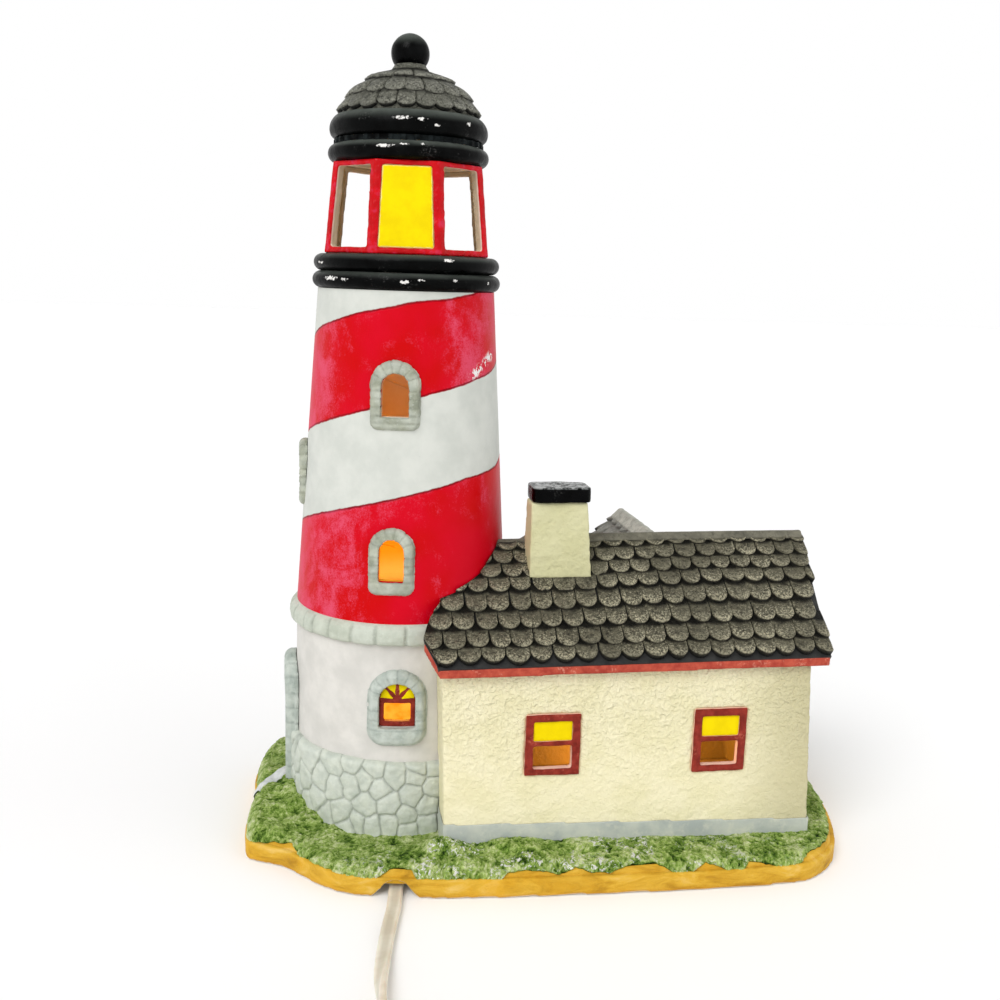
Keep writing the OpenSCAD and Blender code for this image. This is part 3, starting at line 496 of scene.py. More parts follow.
def mat_black(name, chips=(), grey=(5, 6, 6), rough=0.34, top=None, top_sheen=0.5, bare_r=None):
    """Satin black with small chips down to the white body; chips are (theta, z, half width deg, half height mm)."""
    t = NT(name)
    th, x, y, z = theta_node(t)
    n1 = t.noise(5, 3, 0.6)
    col = t.mix(t.ss(n1, 0.3, 0.7), C(0, 0, 0), C(*grey))
    # painted sheen: faces turned upwards are lightened to grey as a painted reflection of the light from above, scaled
    # per material
    g = t.node("ShaderNodeNewGeometry")
    sn = t.node("ShaderNodeSeparateXYZ")
    t.put(sn.inputs[0], g.outputs["Normal"])
    sheen = t.math("MULTIPLY", t.ss(sn.outputs[2], 0.25, 0.95), t.lin(t.noise(7, 3, 0.6), 0.3, 0.7, 0.6, 1.0))
    col = t.mix(t.math("MULTIPLY", sheen, top_sheen), col, C(96, 102, 96))
    dust = t.ss(t.math("MULTIPLY", t.noise(0.7, 3, 0.7), t.noise(9, 3)), 0.36, 0.46)
    col = t.mix(t.math("MULTIPLY", dust, 0.35), col, C(92, 92, 90))
    # painted highlight: the noise-broken light grey on the top face of the chimney cap stands for its glossy reflection
    if top:
        worn = t.math("MULTIPLY", t.ss(z, top[0], top[1]), t.ss(t.noise(2.2, 4, 0.65), 0.42, 0.60))
        col = t.mix(t.math("MULTIPLY", worn, 0.75), col, C(186, 189, 188))
    jag = t.noise(0.9, 4, 0.75)
    jag2 = t.noise(2.6, 3, 0.6)
    total = None
    for (a, zc, da, dz) in chips:
        u = t.math("DIVIDE", t.math("SUBTRACT", th, a), da)
        v = t.math("DIVIDE", t.math("SUBTRACT", z, zc), dz)
        d = t.math("ADD", t.math("MULTIPLY", u, u), t.math("MULTIPLY", v, v))
        k = t.math("SUBTRACT", 1.0, d)
        total = k if total is None else t.math("MAXIMUM", total, k)
    h = t.math("ADD", t.math("MULTIPLY", n1, 0.5), t.math("MULTIPLY", t.noise(0.5, 3), 0.12))
    rr = t.lin(t.noise(3, 3), 0.3, 0.7, rough - 0.07, rough + 0.12)
    if total is not None:
        m = t.math("ADD", total, t.math("MULTIPLY", t.math("SUBTRACT", jag, 0.5), 3.2))
        m = t.math("ADD", m, t.math("MULTIPLY", t.math("SUBTRACT", jag2, 0.5), 2.0))
        mask = t.math("MULTIPLY", t.ss(m, 0.62, 0.8), t.ss(total, 0.0, 0.15))
        col = t.mix(mask, col, C(226, 224, 220))
        h = t.math("SUBTRACT", h, t.math("MULTIPLY", mask, 0.4))
        rr = t.mix(mask, rr, (0.8, 0.8, 0.8))
    if bare_r:
        rad = radius_node(t, x, y)
        col = t.mix(t.ss(rad, bare_r, bare_r + 0.5), C(228, 216, 192), col)
    return t.done(col, rr, t.bump(h, 0.5, 0.9), spec=0.05)


def mat_stucco():
    t = NT("cottage_cream")
    x, y, z = t.xyz()
    m = t.noise(12, 3, 0.5)
    col = t.mix(t.ss(m, 0.3, 0.7), C(226, 219, 180), C(233, 226, 192))
    # painted shade: the stucco above the eaves, on the chimney, is painted a darker cream
    col = t.mix(t.ss(z, 84.0, 94.0), col, t.mix(t.ss(m, 0.3, 0.7), C(198, 195, 152), C(208, 205, 165)))
    # painted shade: the right end of the walls below the eaves is painted darker, as the light falls off to the right
    col = t.mix(t.math("MULTIPLY", t.math("MULTIPLY", t.ss(x, 112.0, 150.0), t.math("SUBTRACT", 1.0, t.ss(z, 80.0, 84.0))), 0.9), col, C(190, 183, 146))
    dab = t.noise(1.5, 2, 0.5, dist=0.4)
    dab2 = t.noise(2.8, 2, 0.5, dist=0.3)
    low = t.math("SUBTRACT", 1.0, t.ss(dab, 0.38, 0.56))
    strong = t.lin(t.ss(z, 24.0, 72.0), 0.0, 1.0, 0.25, 1.0)
    strong = t.math("MULTIPLY", strong, t.lin(t.ss(z, 84.0, 90.0), 0.0, 1.0, 1.0, 0.25))
    col = t.mix(t.math("MULTIPLY", t.math("MULTIPLY", low, strong), 0.12), col, C(190, 180, 128))
    h = t.math("ADD", t.math("MULTIPLY", t.ss(dab, 0.36, 0.62), 0.75), t.math("MULTIPLY", t.ss(dab2, 0.36, 0.64), 0.8))
    h = t.math("ADD", t.math("MULTIPLY", h, strong), t.math("MULTIPLY", t.noise(0.7, 4, 0.65), 0.4))
    h = t.math("ADD", h, t.math("MULTIPLY", t.noise(4.0, 2), 0.6))
    return t.done(col, 0.75, t.bump(h, 0.55, 0.8), spec=0.12)


def mat_shingle(name, c0, c1, hi, edge, rub_and_highlight=C(172, 162, 126), wear=0.8, shade=0.85, dark=(0.12, 0.34)):
    t = NT(name)
    up = t.attr("up")          # 1 on the crown of a shingle, 0 in the joints
    cell = t.attr("cell")
    low = t.attr("low")        # 1 at the rounded lower end of a shingle
    n = t.noise(3.2, 5, 0.65)
    col = t.mix(t.ss(n, 0.3, 0.7), c0, c1)
    col = t.mix(t.math("MULTIPLY", cell, 0.25), col, hi)
    pits = t.noise(0.7, 4, 0.75)
    hole = t.ss(t.noise(1.1, 3, 0.6, dist=0.5), 0.30, 0.46)
    # dry-brushed paint on the raised lower ends of the shingles, also a painted highlight and glints where the light
    # catches them
    dry_and_glint = t.ss(t.math("ADD", t.math("MULTIPLY", low, 0.18), pits), 0.585, 0.72)
    patch = t.ss(t.noise(24, 2, 0.5), 0.34, 0.58)
    col = t.mix(t.math("MULTIPLY", t.math("MULTIPLY", dry_and_glint, up), t.lin(patch, 0, 1, 0.3, wear)), col, rub_and_highlight)
    col = t.mix(t.math("MULTIPLY", t.math("SUBTRACT", 1.0, hole), 0.55), col, edge)
    # painted shade: the top of each shingle, just under the lip of the row above, and the joints and lips are darkened
    # to the edge colour
    col = t.mix(t.math("MULTIPLY", t.math("SUBTRACT", 1.0, t.ss(low, dark[0], dark[1])), shade), col, edge)
    col = t.mix(t.math("SUBTRACT", 1.0, t.ss(up, 0.05, 0.6)), col, edge)
    h = t.math("ADD", t.math("MULTIPLY", pits, 1.6), t.math("MULTIPLY", t.noise(2.2, 3, 0.6), 0.8))
    h = t.math("ADD", h, t.math("MULTIPLY", hole, 0.7))
    return t.done(col, t.lin(pits, 0.35, 0.65, 0.32, 0.55), t.bump(h, 1.0, 1.3), spec=0.22)


def mat_stone(name, c0, c1, joint):
    t = NT(name)
    cav = t.attr("joint")
    cell = t.attr("cell")
    n = t.noise(4.2, 4, 0.6)
    col = t.mix(t.ss(n, 0.3, 0.72), c0, c1)
    col = t.mix(t.math("MULTIPLY", cell, 0.4), col, C(204, 209, 200))
    col = t.mix(t.math("MULTIPLY", cav, t.lin(t.noise(2.0, 3), 0.3, 0.7, 0.15, 0.62)), col, joint)
    sp = t.ss(t.noise(0.9, 3, 0.7), 0.6, 0.72)
    col = t.mix(t.math("MULTIPLY", sp, 0.35), col, C(214, 219, 214))
    h = t.math("ADD", t.noise(0.8, 4, 0.65), t.math("MULTIPLY", t.noise(3.5, 3), 1.0))
    return t.done(col, 0.62, t.bump(h, 0.3, 0.8), spec=0.25)


def mat_grass():
    t = NT("grass_paint")
    th, x, y, z = theta_node(t)
    blade = t.noise(1.5, 4, 0.7, stretch=(1.0, 1.0, 0.5), dist=1.4)
    clump = t.noise(3.6, 4, 0.65, dist=0.8)
    patch = t.noise(14, 3, 0.6)
    up = t.attr("up")
    # up lightens the raised clumps and leaves the bank's underside darkest: painted highlight and shade over the leaf
    # pattern
    v = t.math("ADD", t.math("MULTIPLY", blade, 0.5), t.math("MULTIPLY", up, 0.34))
    v = t.math("ADD", v, t.math("MULTIPLY", clump, 0.3))
    v = t.math("ADD", v, t.math("MULTIPLY", t.math("SUBTRACT", patch, 0.5), 0.22))
    col = t.ramp(v, [(0.39, C(30, 52, 10)), (0.46, C(78, 112, 32)), (0.53, C(128, 160, 66)), (0.61, C(180, 204, 112)), (0.71, C(232, 240, 186))])
    # bare white flecks along the front bank
    fy = t.math("SUBTRACT", 1.0, t.ss(y, -60.0, -52.0))
    fx = t.math("MULTIPLY", t.ss(x, -30.0, -6.0), t.math("SUBTRACT", 1.0, t.ss(x, 84.0, 150.0)))
    zone = t.math("MULTIPLY", fy, t.math("ADD", t.math("MULTIPLY", fx, 0.85), 0.15))
    cl = t.ss(t.noise(11, 2, 0.5), 0.46, 0.58)
    fl = t.math("MULTIPLY", t.ss(t.noise(2.2, 4, 0.6, dist=1.8), 0.55, 0.565), t.ss(up, 0.36, 0.5))
    col = t.mix(t.math("MULTIPLY", t.math("MULTIPLY", fl, cl), zone), col, C(250, 250, 244))
    h = t.math("ADD", t.math("ADD", blade, clump), t.math("MULTIPLY", t.noise(0.5, 3), 0.35))
    return t.done(col, 0.6, t.bump(h, 1.0, 1.6), spec=0.12)


def mat_sand():
    t = NT("sand_paint")
    x, y, z = t.xyz()
    st = t.noise(8.0, 4, 0.6, stretch=(0.6, 0.6, 1.7), dist=0.8)
    n = t.noise(14, 3, 0.6)
    col = t.ramp(st, [(0.25, C(160, 116, 26)), (0.42, C(196, 150, 40)), (0.56, C(212, 168, 56)), (0.8, C(228, 194, 112))])
    col = t.mix(t.math("MULTIPLY", t.ss(n, 0.45, 0.7), 0.4), col, C(216, 160, 30))
    low = t.math("SUBTRACT", 1.0, t.ss(z, 0.2, 2.0))
    col = t.mix(t.math("MULTIPLY", low, 0.4), col, C(176, 112, 30))
    # bare clay underneath and inside the cottage
    g = t.node("ShaderNodeNewGeometry")
    sn = t.node("ShaderNodeSeparateXYZ")
    t.put(sn.inputs[0], g.outputs["Normal"])
    under = t.math("SUBTRACT", 1.0, t.ss(sn.outputs[2], -0.8, -0.3))
    inx = t.math("MULTIPLY", t.ss(x, 10.0, 11.0), t.math("SUBTRACT", 1.0, t.ss(x, 148.0, 149.0)))
    iny = t.math("MULTIPLY", t.ss(y, -55.5, -54.5), t.math("SUBTRACT", 1.0, t.ss(y, 20.0, 21.0)))
    ins = t.math("MULTIPLY", t.math("MULTIPLY", inx, iny), t.ss(z, 3.0, 3.5))
    bare = t.mix(t.noise(4, 3), C(222, 206, 180), C(238, 226, 206))
    col = t.mix(t.math("MAXIMUM", under, ins), col, bare)
    return t.done(col, 0.6, t.bump(t.math("ADD", st, t.noise(1.0, 3)), 0.5, 0.8), spec=0.15)


def mat_frame(name, c0, c1, c2, mott=3.0, rough=0.42, spec=0.3, reveal=False):
    t = NT(name)
    n = t.noise(mott, 4, 0.65, stretch=(1.0, 1.0, 1.0))
    col = t.mix(t.ss(n, 0.3, 0.7), c0, c1)
    w = t.ss(t.math("MULTIPLY", t.noise(1.1, 4, 0.7), t.noise(7, 2)), 0.33, 0.42)
    col = t.mix(t.math("MULTIPLY", w, 0.5), col, c2)
    if reveal:
        # the front windows' reveals were left the pale colour of the slip
        x, y, z = t.xyz()
        pale = t.math("MULTIPLY", t.ss(y, -57.5, -57.0), t.math("SUBTRACT", 1.0, t.ss(y, -50.0, -49.0)))
        col = t.mix(t.math("MULTIPLY", pale, t.ss(x, 10.0, 12.0)), col, C(246, 206, 186))
    h = t.math("ADD", t.noise(2.2, 3), t.math("MULTIPLY", t.noise(0.6, 3), 0.3))
    return t.done(col, rough, t.bump(h, 0.35, 0.8), spec=spec)


def mat_lantern():
    t = NT("lantern_red")
    x, y, z = t.xyz()
    a = math.radians(-6)
    ca, sa = math.cos(a), math.sin(a)
    u = t.math("ADD", t.math("MULTIPLY", x, ca), t.math("MULTIPLY", y, sa))
    v = t.math("SUBTRACT", t.math("MULTIPLY", y, ca), t.math("MULTIPLY", x, sa))
    au, av = t.math("ABSOLUTE", u), t.math("ABSOLUTE", v)
    dg = t.math("MULTIPLY", t.math("ADD", au, av), 0.7071)
    d8 = t.math("MAXIMUM", t.math("MAXIMUM", au, av), dg)
    ap = t.lin(z, 221.4, 253.5, 29.72, 26.75)
    depth = t.math("SUBTRACT", ap, d8)
    n = t.noise(2.6, 4, 0.65)
    n2 = t.noise(8, 3, 0.6)
    red = t.mix(t.ss(n2, 0.3, 0.7), C(176, 0, 8), C(204, 2, 18))
    pink = t.ss(t.math("MULTIPLY", n, n2), 0.27, 0.38)
    red = t.mix(t.math("MULTIPLY", pink, 0.3), red, C(206, 72, 116))
    chip = t.ss(t.math("ADD", t.noise(0.9, 4, 0.7), t.math("MULTIPLY", depth, 0.22)), 0.68, 0.76)
    bare = t.mix(t.noise(3, 3), C(186, 166, 138), C(206, 188, 160))
    white = C(232, 206, 190)
    col = t.mix(t.ss(depth, 0.5, 0.75), red, white)
    col = t.mix(t.ss(depth, 1.0, 1.5), col, bare)
    h = t.math("ADD", t.noise(3, 3), t.math("MULTIPLY", t.noise(0.7, 3), 0.25))
    rough = t.mix(t.ss(depth, 0.5, 0.8), (0.3, 0.3, 0.3), (0.8, 0.8, 0.8))
    return t.done(col, rough, t.bump(h, 0.6, 0.9), spec=0.14)


def mat_yellow(name="yellow_pane", lantern=False):
    t = NT(name)
    n = t.noise(6, 3, 0.6)
    col = t.mix(t.ss(n, 0.3, 0.7), C(226, 200, 0), C(236, 212, 0))
    sp = t.ss(t.noise(0.8, 3, 0.7), 0.68, 0.76)
    col = t.mix(t.math("MULTIPLY", sp, 0.4), col, C(196, 168, 20))
    if lantern:
        x, y, z = t.xyz()
        a = math.radians(-6)
        ca, sa = math.cos(a), math.sin(a)
        u = t.math("ABSOLUTE", t.math("ADD", t.math("MULTIPLY", x, ca), t.math("MULTIPLY", y, sa)))
        v = t.math("ABSOLUTE", t.math("SUBTRACT", t.math("MULTIPLY", y, ca), t.math("MULTIPLY", x, sa)))
        lat = t.math("SUBTRACT", t.lin(z, 223.8, 251.8, 9.8, 8.6), t.math("MINIMUM", u, v))
        rim = t.math("MINIMUM", lat, t.math("MINIMUM", t.math("SUBTRACT", z, 223.8), t.math("SUBTRACT", 251.8, z)))
        rim = t.math("ADD", rim, t.math("MULTIPLY", t.math("SUBTRACT", t.noise(1.6, 3, 0.6), 0.5), 0.9))
        col = t.mix(t.math("MULTIPLY", t.math("SUBTRACT", 1.0, t.ss(rim, 0.15, 0.5)), 0.8), col, C(242, 226, 150))
    t.p.inputs["Emission Strength"].default_value = 0.0
    t.put(t.p.inputs["Emission Color"], (0.95, 0.78, 0.02, 1.0))
    return t.done(col, 0.4, t.bump(t.noise(2.5, 3), 0.12, 0.6), spec=0.06)


def mat_bare(name="bare_bisque"):
    t = NT(name)
    col = t.mix(t.noise(4, 4, 0.6), C(222, 208, 182), C(240, 230, 210))
    return t.done(col, 0.82, t.bump(t.noise(0.7, 4, 0.6), 0.1, 0.6), spec=0.25)


def mat_metal(name, base, alt, rough=0.3):
    t = NT(name)
    col = t.mix(t.noise(2.5, 4), base, alt)
    rr = t.lin(t.noise(1.2, 3, stretch=(1, 1, 6.0)), 0.3, 0.7, rough - 0.08, rough + 0.12)
    return t.done(col, rr, t.bump(t.noise(0.5, 2), 0.03, 0.5), Metallic=1.0)


def mat_plastic(name, base, alt, rough=0.4, bump=0.05):
    t = NT(name)
    col = t.mix(t.noise(9, 3), base, alt)
    rr = t.lin(t.noise(2, 3), 0.3, 0.7, rough - 0.06, rough + 0.08)
    return t.done(col, rr, t.bump(t.noise(0.5, 3), bump, 0.6), spec=0.45)


def mat_cord():
    t = NT("cord_vinyl")
    n = t.noise(12, 3, 0.6)
    col = t.mix(t.ss(n, 0.35, 0.65), C(214, 204, 184), C(232, 226, 210))
    gr = t.attr("groove")
    col = t.mix(t.math("MULTIPLY", gr, 0.5), col, C(150, 134, 108))
    return t.done(col, 0.34, t.bump(t.noise(1.4, 2), 0.04, 0.5), spec=0.5,
                  **{"Subsurface Weight": 0.15, "Subsurface Scale": 0.002})


def mat_bulb():
    t = NT("bulb_glass")
    n = t.noise(8, 2)
    col = t.mix(n, C(255, 206, 70), C(255, 224, 110))
    t.p.inputs["Emission Strength"].default_value = 0.7
    t.put(t.p.inputs["Emission Color"], t.mix(t.ss(t.noise(5, 3, 0.6), 0.35, 0.65), (1.0, 0.36, 0.01), (1.0, 0.66, 0.06)))
    return t.done(col, 0.25, t.bump(n, 0.02, 0.5))


M = {}
M["tower"] = mat_tower()
M["bare"] = mat_bare()
M["stucco"] = mat_stucco()
M["stone"] = mat_stone("fieldstone_paint", C(180, 187, 176), C(202, 207, 194), C(118, 124, 116))
M["bandstone"] = mat_stone("bandstone_paint", C(172, 178, 162), C(192, 197, 182), C(132, 138, 126))
M["surround"] = mat_stone("surround_paint", C(134, 139, 122), C(172, 175, 156), C(104, 108, 92))
M["shingle"] = mat_shingle("roof_charcoal", C(98, 95, 79), C(134, 130, 108), C(142, 138, 116), C(6, 6, 5), C(240, 232, 198), 1.0, 0.92, (0.15, 0.31))
M["wing_shingle"] = mat_shingle("wing_charcoal", C(158, 158, 147), C(184, 183, 172), C(190, 189, 178), C(146, 146, 138), C(208, 208, 196), 0.5, 0.3)
M["dome"] = mat_shingle("dome_grey", C(104, 105, 94), C(140, 140, 127), C(152, 152, 138), C(12, 12, 10), C(214, 213, 196), 0.85, 0.7)
M["roof_flat"] = mat_paint("roof_band", C(90, 88, 76), C(116, 113, 98), 0.62, 5, 0.4, 0.6, 0.25, C(28, 28, 25), 0.55)
M["wing_flat"] = mat_paint("wing_band", C(154, 154, 143), C(182, 181, 169), 0.62, 5, 0.4, 0.6, 0.25, C(84, 85, 78), 0.5)
M["roof_edge"] = mat_paint("roof_edge", C(26, 27, 28), C(44, 44, 42), 0.5, 5, 0.25, 0.7, 0.4)
M["redbrown"] = mat_frame("red_brown_paint", C(112, 30, 20), C(146, 50, 38), C(196, 104, 84), 3.0, 0.34, 0.14)
M["fascia"] = mat_frame("fascia_paint", C(154, 54, 42), C(188, 84, 64), C(220, 152, 130), 4.0, 0.42, 0.14)
M["window_frame"] = mat_frame("window_frame_paint", C(112, 30, 20), C(146, 50, 38), C(196, 104, 84), 3.0, 0.34, 0.14, True)
M["surround_low"] = mat_stone("surround_low_paint", C(150, 160, 152), C(184, 192, 184), C(116, 126, 120))
M["yellow"] = mat_yellow()
M["lantern_yellow"] = mat_yellow("lantern_yellow_pane", True)
M["amber"] = mat_yellow("amber_pane")
M["lantern"] = mat_lantern()
M["grass"] = mat_grass()
M["sand"] = mat_sand()
M["path"] = mat_paint("path_paint", C(196, 200, 198), C(222, 224, 222), 0.7, 5, 0.3, 0.8, 0.3, C(150, 156, 150), 0.4)
M["plinth"] = mat_paint("plinth_paint", C(164, 171, 168), C(190, 194, 184), 0.6, 14, 0.15, 0.8, 0.2, C(204, 205, 190), 0.6)
M["black_g1"] = mat_black("black_gallery_low", [(-55, 212.6, 9, 1.1), (-44, 212.3, 3.5, 0.9), (-6, 212.2, 5.0, 1.0), (3, 212.9, 3.0, 0.6), (24, 213.0, 2.2, 0.7), (52, 212.4, 2.0, 0.8)])
M["black_g2"] = mat_black("black_gallery_up", [(20, 219.9, 4.5, 0.8), (-70, 218, 6, 0.8), (110, 218, 6, 0.9)])
M["black_d1"] = mat_black("black_dome_low", [(-22, 258.0, 9.0, 0.9), (-8, 258.6, 4.5, 0.7), (4, 258.9, 2.5, 0.6)], top_sheen=0.8, bare_r=24.9)
M["black_d2"] = mat_black("black_dome_up", [(-10, 267.4, 10, 0.9), (4, 267.0, 7, 0.9), (14, 265.4, 3, 0.8), (42, 267.0, 3.5, 0.9)], top_sheen=0.95, bare_r=21.0)
M["black_d3"] = mat_black("black_dentils", [], (30, 36, 37), 0.5, top_sheen=0.7, bare_r=21.0)
M["black_ball"] = mat_black("black_ball", [], (8, 9, 9), 0.26, top_sheen=0.75)
M["black_cap"] = mat_black("black_chimney_cap", [], (5, 5, 6), 0.2, (138.9, 139.7), top_sheen=0.3)
M["steel"] = mat_metal("clip_steel", C(170, 172, 176), C(196, 198, 202))
M["brass"] = mat_metal("contact_brass", C(196, 158, 86), C(214, 180, 110))
M["solder"] = mat_metal("tip_solder", C(176, 176, 172), C(200, 200, 196), 0.4)
M["socket"] = mat_plastic("socket_plastic", C(236, 232, 218), C(244, 241, 230), 0.5)
M["switch"] = mat_plastic("switch_plastic", C(232, 226, 210), C(240, 236, 224), 0.35)
M["cord"] = mat_cord()
M["bulb"] = mat_bulb()
M["door"] = mat_frame("door_paint", C(92, 54, 32), C(124, 78, 48), C(150, 104, 70))


def use(node, mat):
    o = NODES[node]
    o.data.materials.clear()
    o.data.materials.append(mat)


# ------------------------------------------------------------------ cord
LEAD = [(0, -32, 3.6, 0), (-0.6, -37, 3.3, 0), (-1.5, -42, 2.4, 0), (-2.6, -47, 1.7, 0),
        (-4, -53, 1.5, 0), (-5.2, -60, 1.5, 0), (-6.5, -68.5, 1.5, 0), (-7.9, -78.5, 1.5, 0), (-10, -88.5, 1.5, 0),
        (-12, -99, 1.5, 0), (-13.3, -107, 1.6, 10), (-14.3, -114, 1.9, 25), (-15, -121, 2.4, 50), (-15.3, -128, 2.7, 75),
        (-15.5, -134, 2.8, 80), (-15.5, -141, 3.6, 60), (-15.5, -147, 5.6, 30), (-15.5, -153, 7.5, 10),
        (-15.5, -158, 8, 0), (-15.5, -163, 8, 0)]
LINK = [(-15.5, -211, 8, 0), (-15.5, -216, 7.8, 0), (-14.6, -222, 7, 10), (-12.4, -227.5, 5.8, 25), (-9, -232.3, 4.6, 45),
        (-4, -236, 3.5, 65), (1.5, -238.2, 2.8, 80), (7.5, -239, 2.8, 90), (15, -239, 2.8, 90), (23, -238.9, 2.8, 90),
        (30, -238.8, 2.8, 90)]
TAIL = [(42, -238.7, 8, 90), (50, -238, 8, 90), (57, -236.8, 7.3, 85), (64, -235, 5.8, 75), (71, -232.6, 4.3, 60),
        (78, -230, 3.1, 45), (86, -227.5, 2.2, 25), (94, -225.8, 1.7, 10), (102, -225, 2.4, 0), (109, -225, 4.8, 0),
        (114, -225, 6.6, 0), (120, -225, 7.5, 0)]


def coil_points():
    out = []
    turns, per = 8, 24
    for i in range(1, turns * per):
        t = i / per
        if t < 3.0:
            r = 32.7 - 2.8 * t
        elif t < 4.6:
            r = 24.3
        else:
            r = min(24.3 + 2.8 * (t - 4.6), 32.7)
        k = min(max((t - 3.3) / 0.7, 0.0), 1.0)
        z = 2.8 + (8.0 - 2.8) * (k * k * (3 - 2 * k))
        a = math.radians(-90 + 360 * t)
        out.append((36 + r * math.cos(a), -206 + r * math.sin(a), z, 90))
    return out


def catmull(pts, n):
    pts = [np.array(p, float) for p in pts]
    out = []
    for i in range(len(pts) - 1):
        p0, p1, p2, p3 = pts[max(i - 1, 0)], pts[i], pts[i + 1], pts[min(i + 2, len(pts) - 1)]
        for k in range(n):
            t = k / n
            out.append(0.5 * (2 * p1 + (p2 - p0) * t + (2 * p0 - 5 * p1 + 4 * p2 - p3) * t * t + (3 * p1 - p0 - 3 * p2 + p3) * t ** 3))
    out.append(pts[-1])
    return out


def make_cord():
    mid = [(-15.5, -179, 8, 0), (-15.5, -195, 8, 0)]
    coil = coil_points()
    route = LEAD + mid + LINK[:-1] + coil[1:-1] + TAIL
    line = catmull(route, 3)
    sec = []
    for k in range(22):
        a = 2 * math.pi * k / 22
        c, s = math.cos(a), math.sin(a)
        lx = 1.25 if c >= 0 else -1.25
        x = lx + 1.33 * c
        y = 1.33 * s
        if abs(c) < 0.45:
            y *= 0.72 + 0.28 * abs(c) / 0.45
            x = x * (abs(c) / 0.45) ** 0.6 if abs(c) > 1e-6 else 0.0
        sec.append((x, y, 1.0 - min(abs(c) / 0.4, 1.0)))
    vs, gr = [], []
    pos = [p[:3] for p in line]
    for i, p in enumerate(line):
        a, b = pos[max(i - 1, 0)], pos[min(i + 1, len(pos) - 1)]
        d = (b - a) / np.linalg.norm(b - a)
        u = np.array([-d[1], d[0], 0.0])
        u /= np.linalg.norm(u)
        v = np.cross(d, u)
        r = math.radians(p[3])
        w1 = u * math.cos(r) + v * math.sin(r)
        w2 = v * math.cos(r) - u * math.sin(r)
        for (sx, sy, g) in sec:
            vs.append(p[:3] + w1 * sx + w2 * sy)
            gr.append(g)
    k = len(sec)
    fs = grid_faces(len(line), k, wrap_v=True)
    fs.append(tuple(range(k)))
    fs.append(tuple(reversed(range((len(line) - 1) * k, len(line) * k))))
    obj = mesh_obj("power_cord", vs, fs, mats=[M["cord"]])
    attr(obj, "groove", gr)
    bm = bmesh.new()
    bm.from_mesh(obj.data)
    bmesh.ops.recalc_face_normals(bm, faces=bm.faces)
    bm.to_mesh(obj.data)
    bm.free()
    length = sum(float(np.linalg.norm(b - a)) for a, b in zip(pos[:-1], pos[1:])) / 1000.0
    print("cord length", round(length, 4))
    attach(obj, "lamp_unit")
    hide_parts("cord_lead", "cord_link", "cord_coil", "cord_tail")
    [P(*q) for q in pos]
    return obj


make_cord()


# ------------------------------------------------------------------ base
OUT = [(-59.6, -33), (-56.6, -37.6), (-47, -42.6), (-39.5, -50.5), (-32.5, -58.3),
       (-25.6, -63.8), (-18.8, -66.8), (-6.5, -69.2), (11.3, -72), (31, -73.6),
       (51.4, -74.6), (77, -75.6), (102, -76), (123, -76), (141.7, -74.8),
       (151, -71.2), (160.5, -62), (166.8, -48), (171, -33.6), (173.6, -18), (175.4, -4),
       (176, 12), (175.3, 28), (172, 43), (164, 54), (149, 60.6), (126, 63.4),
       (104, 64), (82, 63), (56, 59), (30, 56.4), (4, 57.4), (-20, 57.6), (-38, 54),
       (-50, 46), (-56, 33), (-58, 18), (-57.4, 6), (-58.4, -8), (-60, -22)]


def outline(step=0.6):
    m = len(OUT)
    p = [np.array(q, float) for q in OUT]
    pts = []
    for i in range(m):
        a, b, c, d = p[(i - 1) % m], p[i], p[(i + 1) % m], p[(i + 2) % m]
        n = max(2, int(round(np.linalg.norm(c - b) / step)))
        for k in range(n):
            t = k / n
            pts.append(0.5 * (2 * b + (c - a) * t + (2 * a - 5 * b + 4 * c - d) * t * t + (3 * b - a - 3 * c + d) * t ** 3))
    pts = np.array(pts)
    tan = np.roll(pts, -1, 0) - np.roll(pts, 1, 0)
    tan /= np.linalg.norm(tan, axis=1)[:, None]
    nrm = np.stack([tan[:, 1], -tan[:, 0]], 1)
    return pts, nrm


GROUND = np.array([
    (10, -59, 15.6), (36, -59, 14.0), (62, -59, 12.4), (85, -59, 11.4), (109, -59, 10.7), (130, -59, 10.5), (153.5, -58, 10.4),
    (11, -45, 9.6), (3, -45, 9.4), (-5, -45, 9.4), (-13, -43.5, 9.0), (-20.5, -39.5, 8.8), (-28, -34.5, 10.2), (-35.5, -26.5, 12.4),
    (-40, -19, 16.0), (-43, -12, 18.6), (-46, 2, 19), (-44, 14, 17.5), (-38, 26, 15), (-26, 38, 13), (-8, 45, 12),
    (12, 45, 11.5), (30, 36, 11), (50, 26, 11), (70, 30, 10.6), (72, 56, 10.3), (103, 57, 10.2), (136, 56, 10.2),
    (137, 26, 10.4), (151, 24, 10.4), (153, 0, 10.5), (153, -30, 10.5),
    (-52, -8, 16.6), (-50, -20, 14.6), (-45, -31, 11.4), (-36, -42, 9.8), (-26, -50, 9.4), (-14, -56, 9.6), (-2, -58, 10.6), (-54, 18, 13),
    (8, -68, 10.4), (30, -69, 10.6), (60, -70, 10.4), (90, -71, 10.2), (120, -71, 10.0), (142, -70, 10.0), (-8, -64, 10.4), (-24, -59, 9.6)], float)


def ground(xy):
    d2 = ((xy[:, None, :] - GROUND[None, :, :2]) ** 2).sum(2) + 4.0
    w = 1.0 / d2 ** 1.7
    return (w * GROUND[None, :, 2]).sum(1) / w.sum(1)


def smooth(t):
    t = np.clip(t, 0, 1)
    return t * t * (3 - 2 * t)


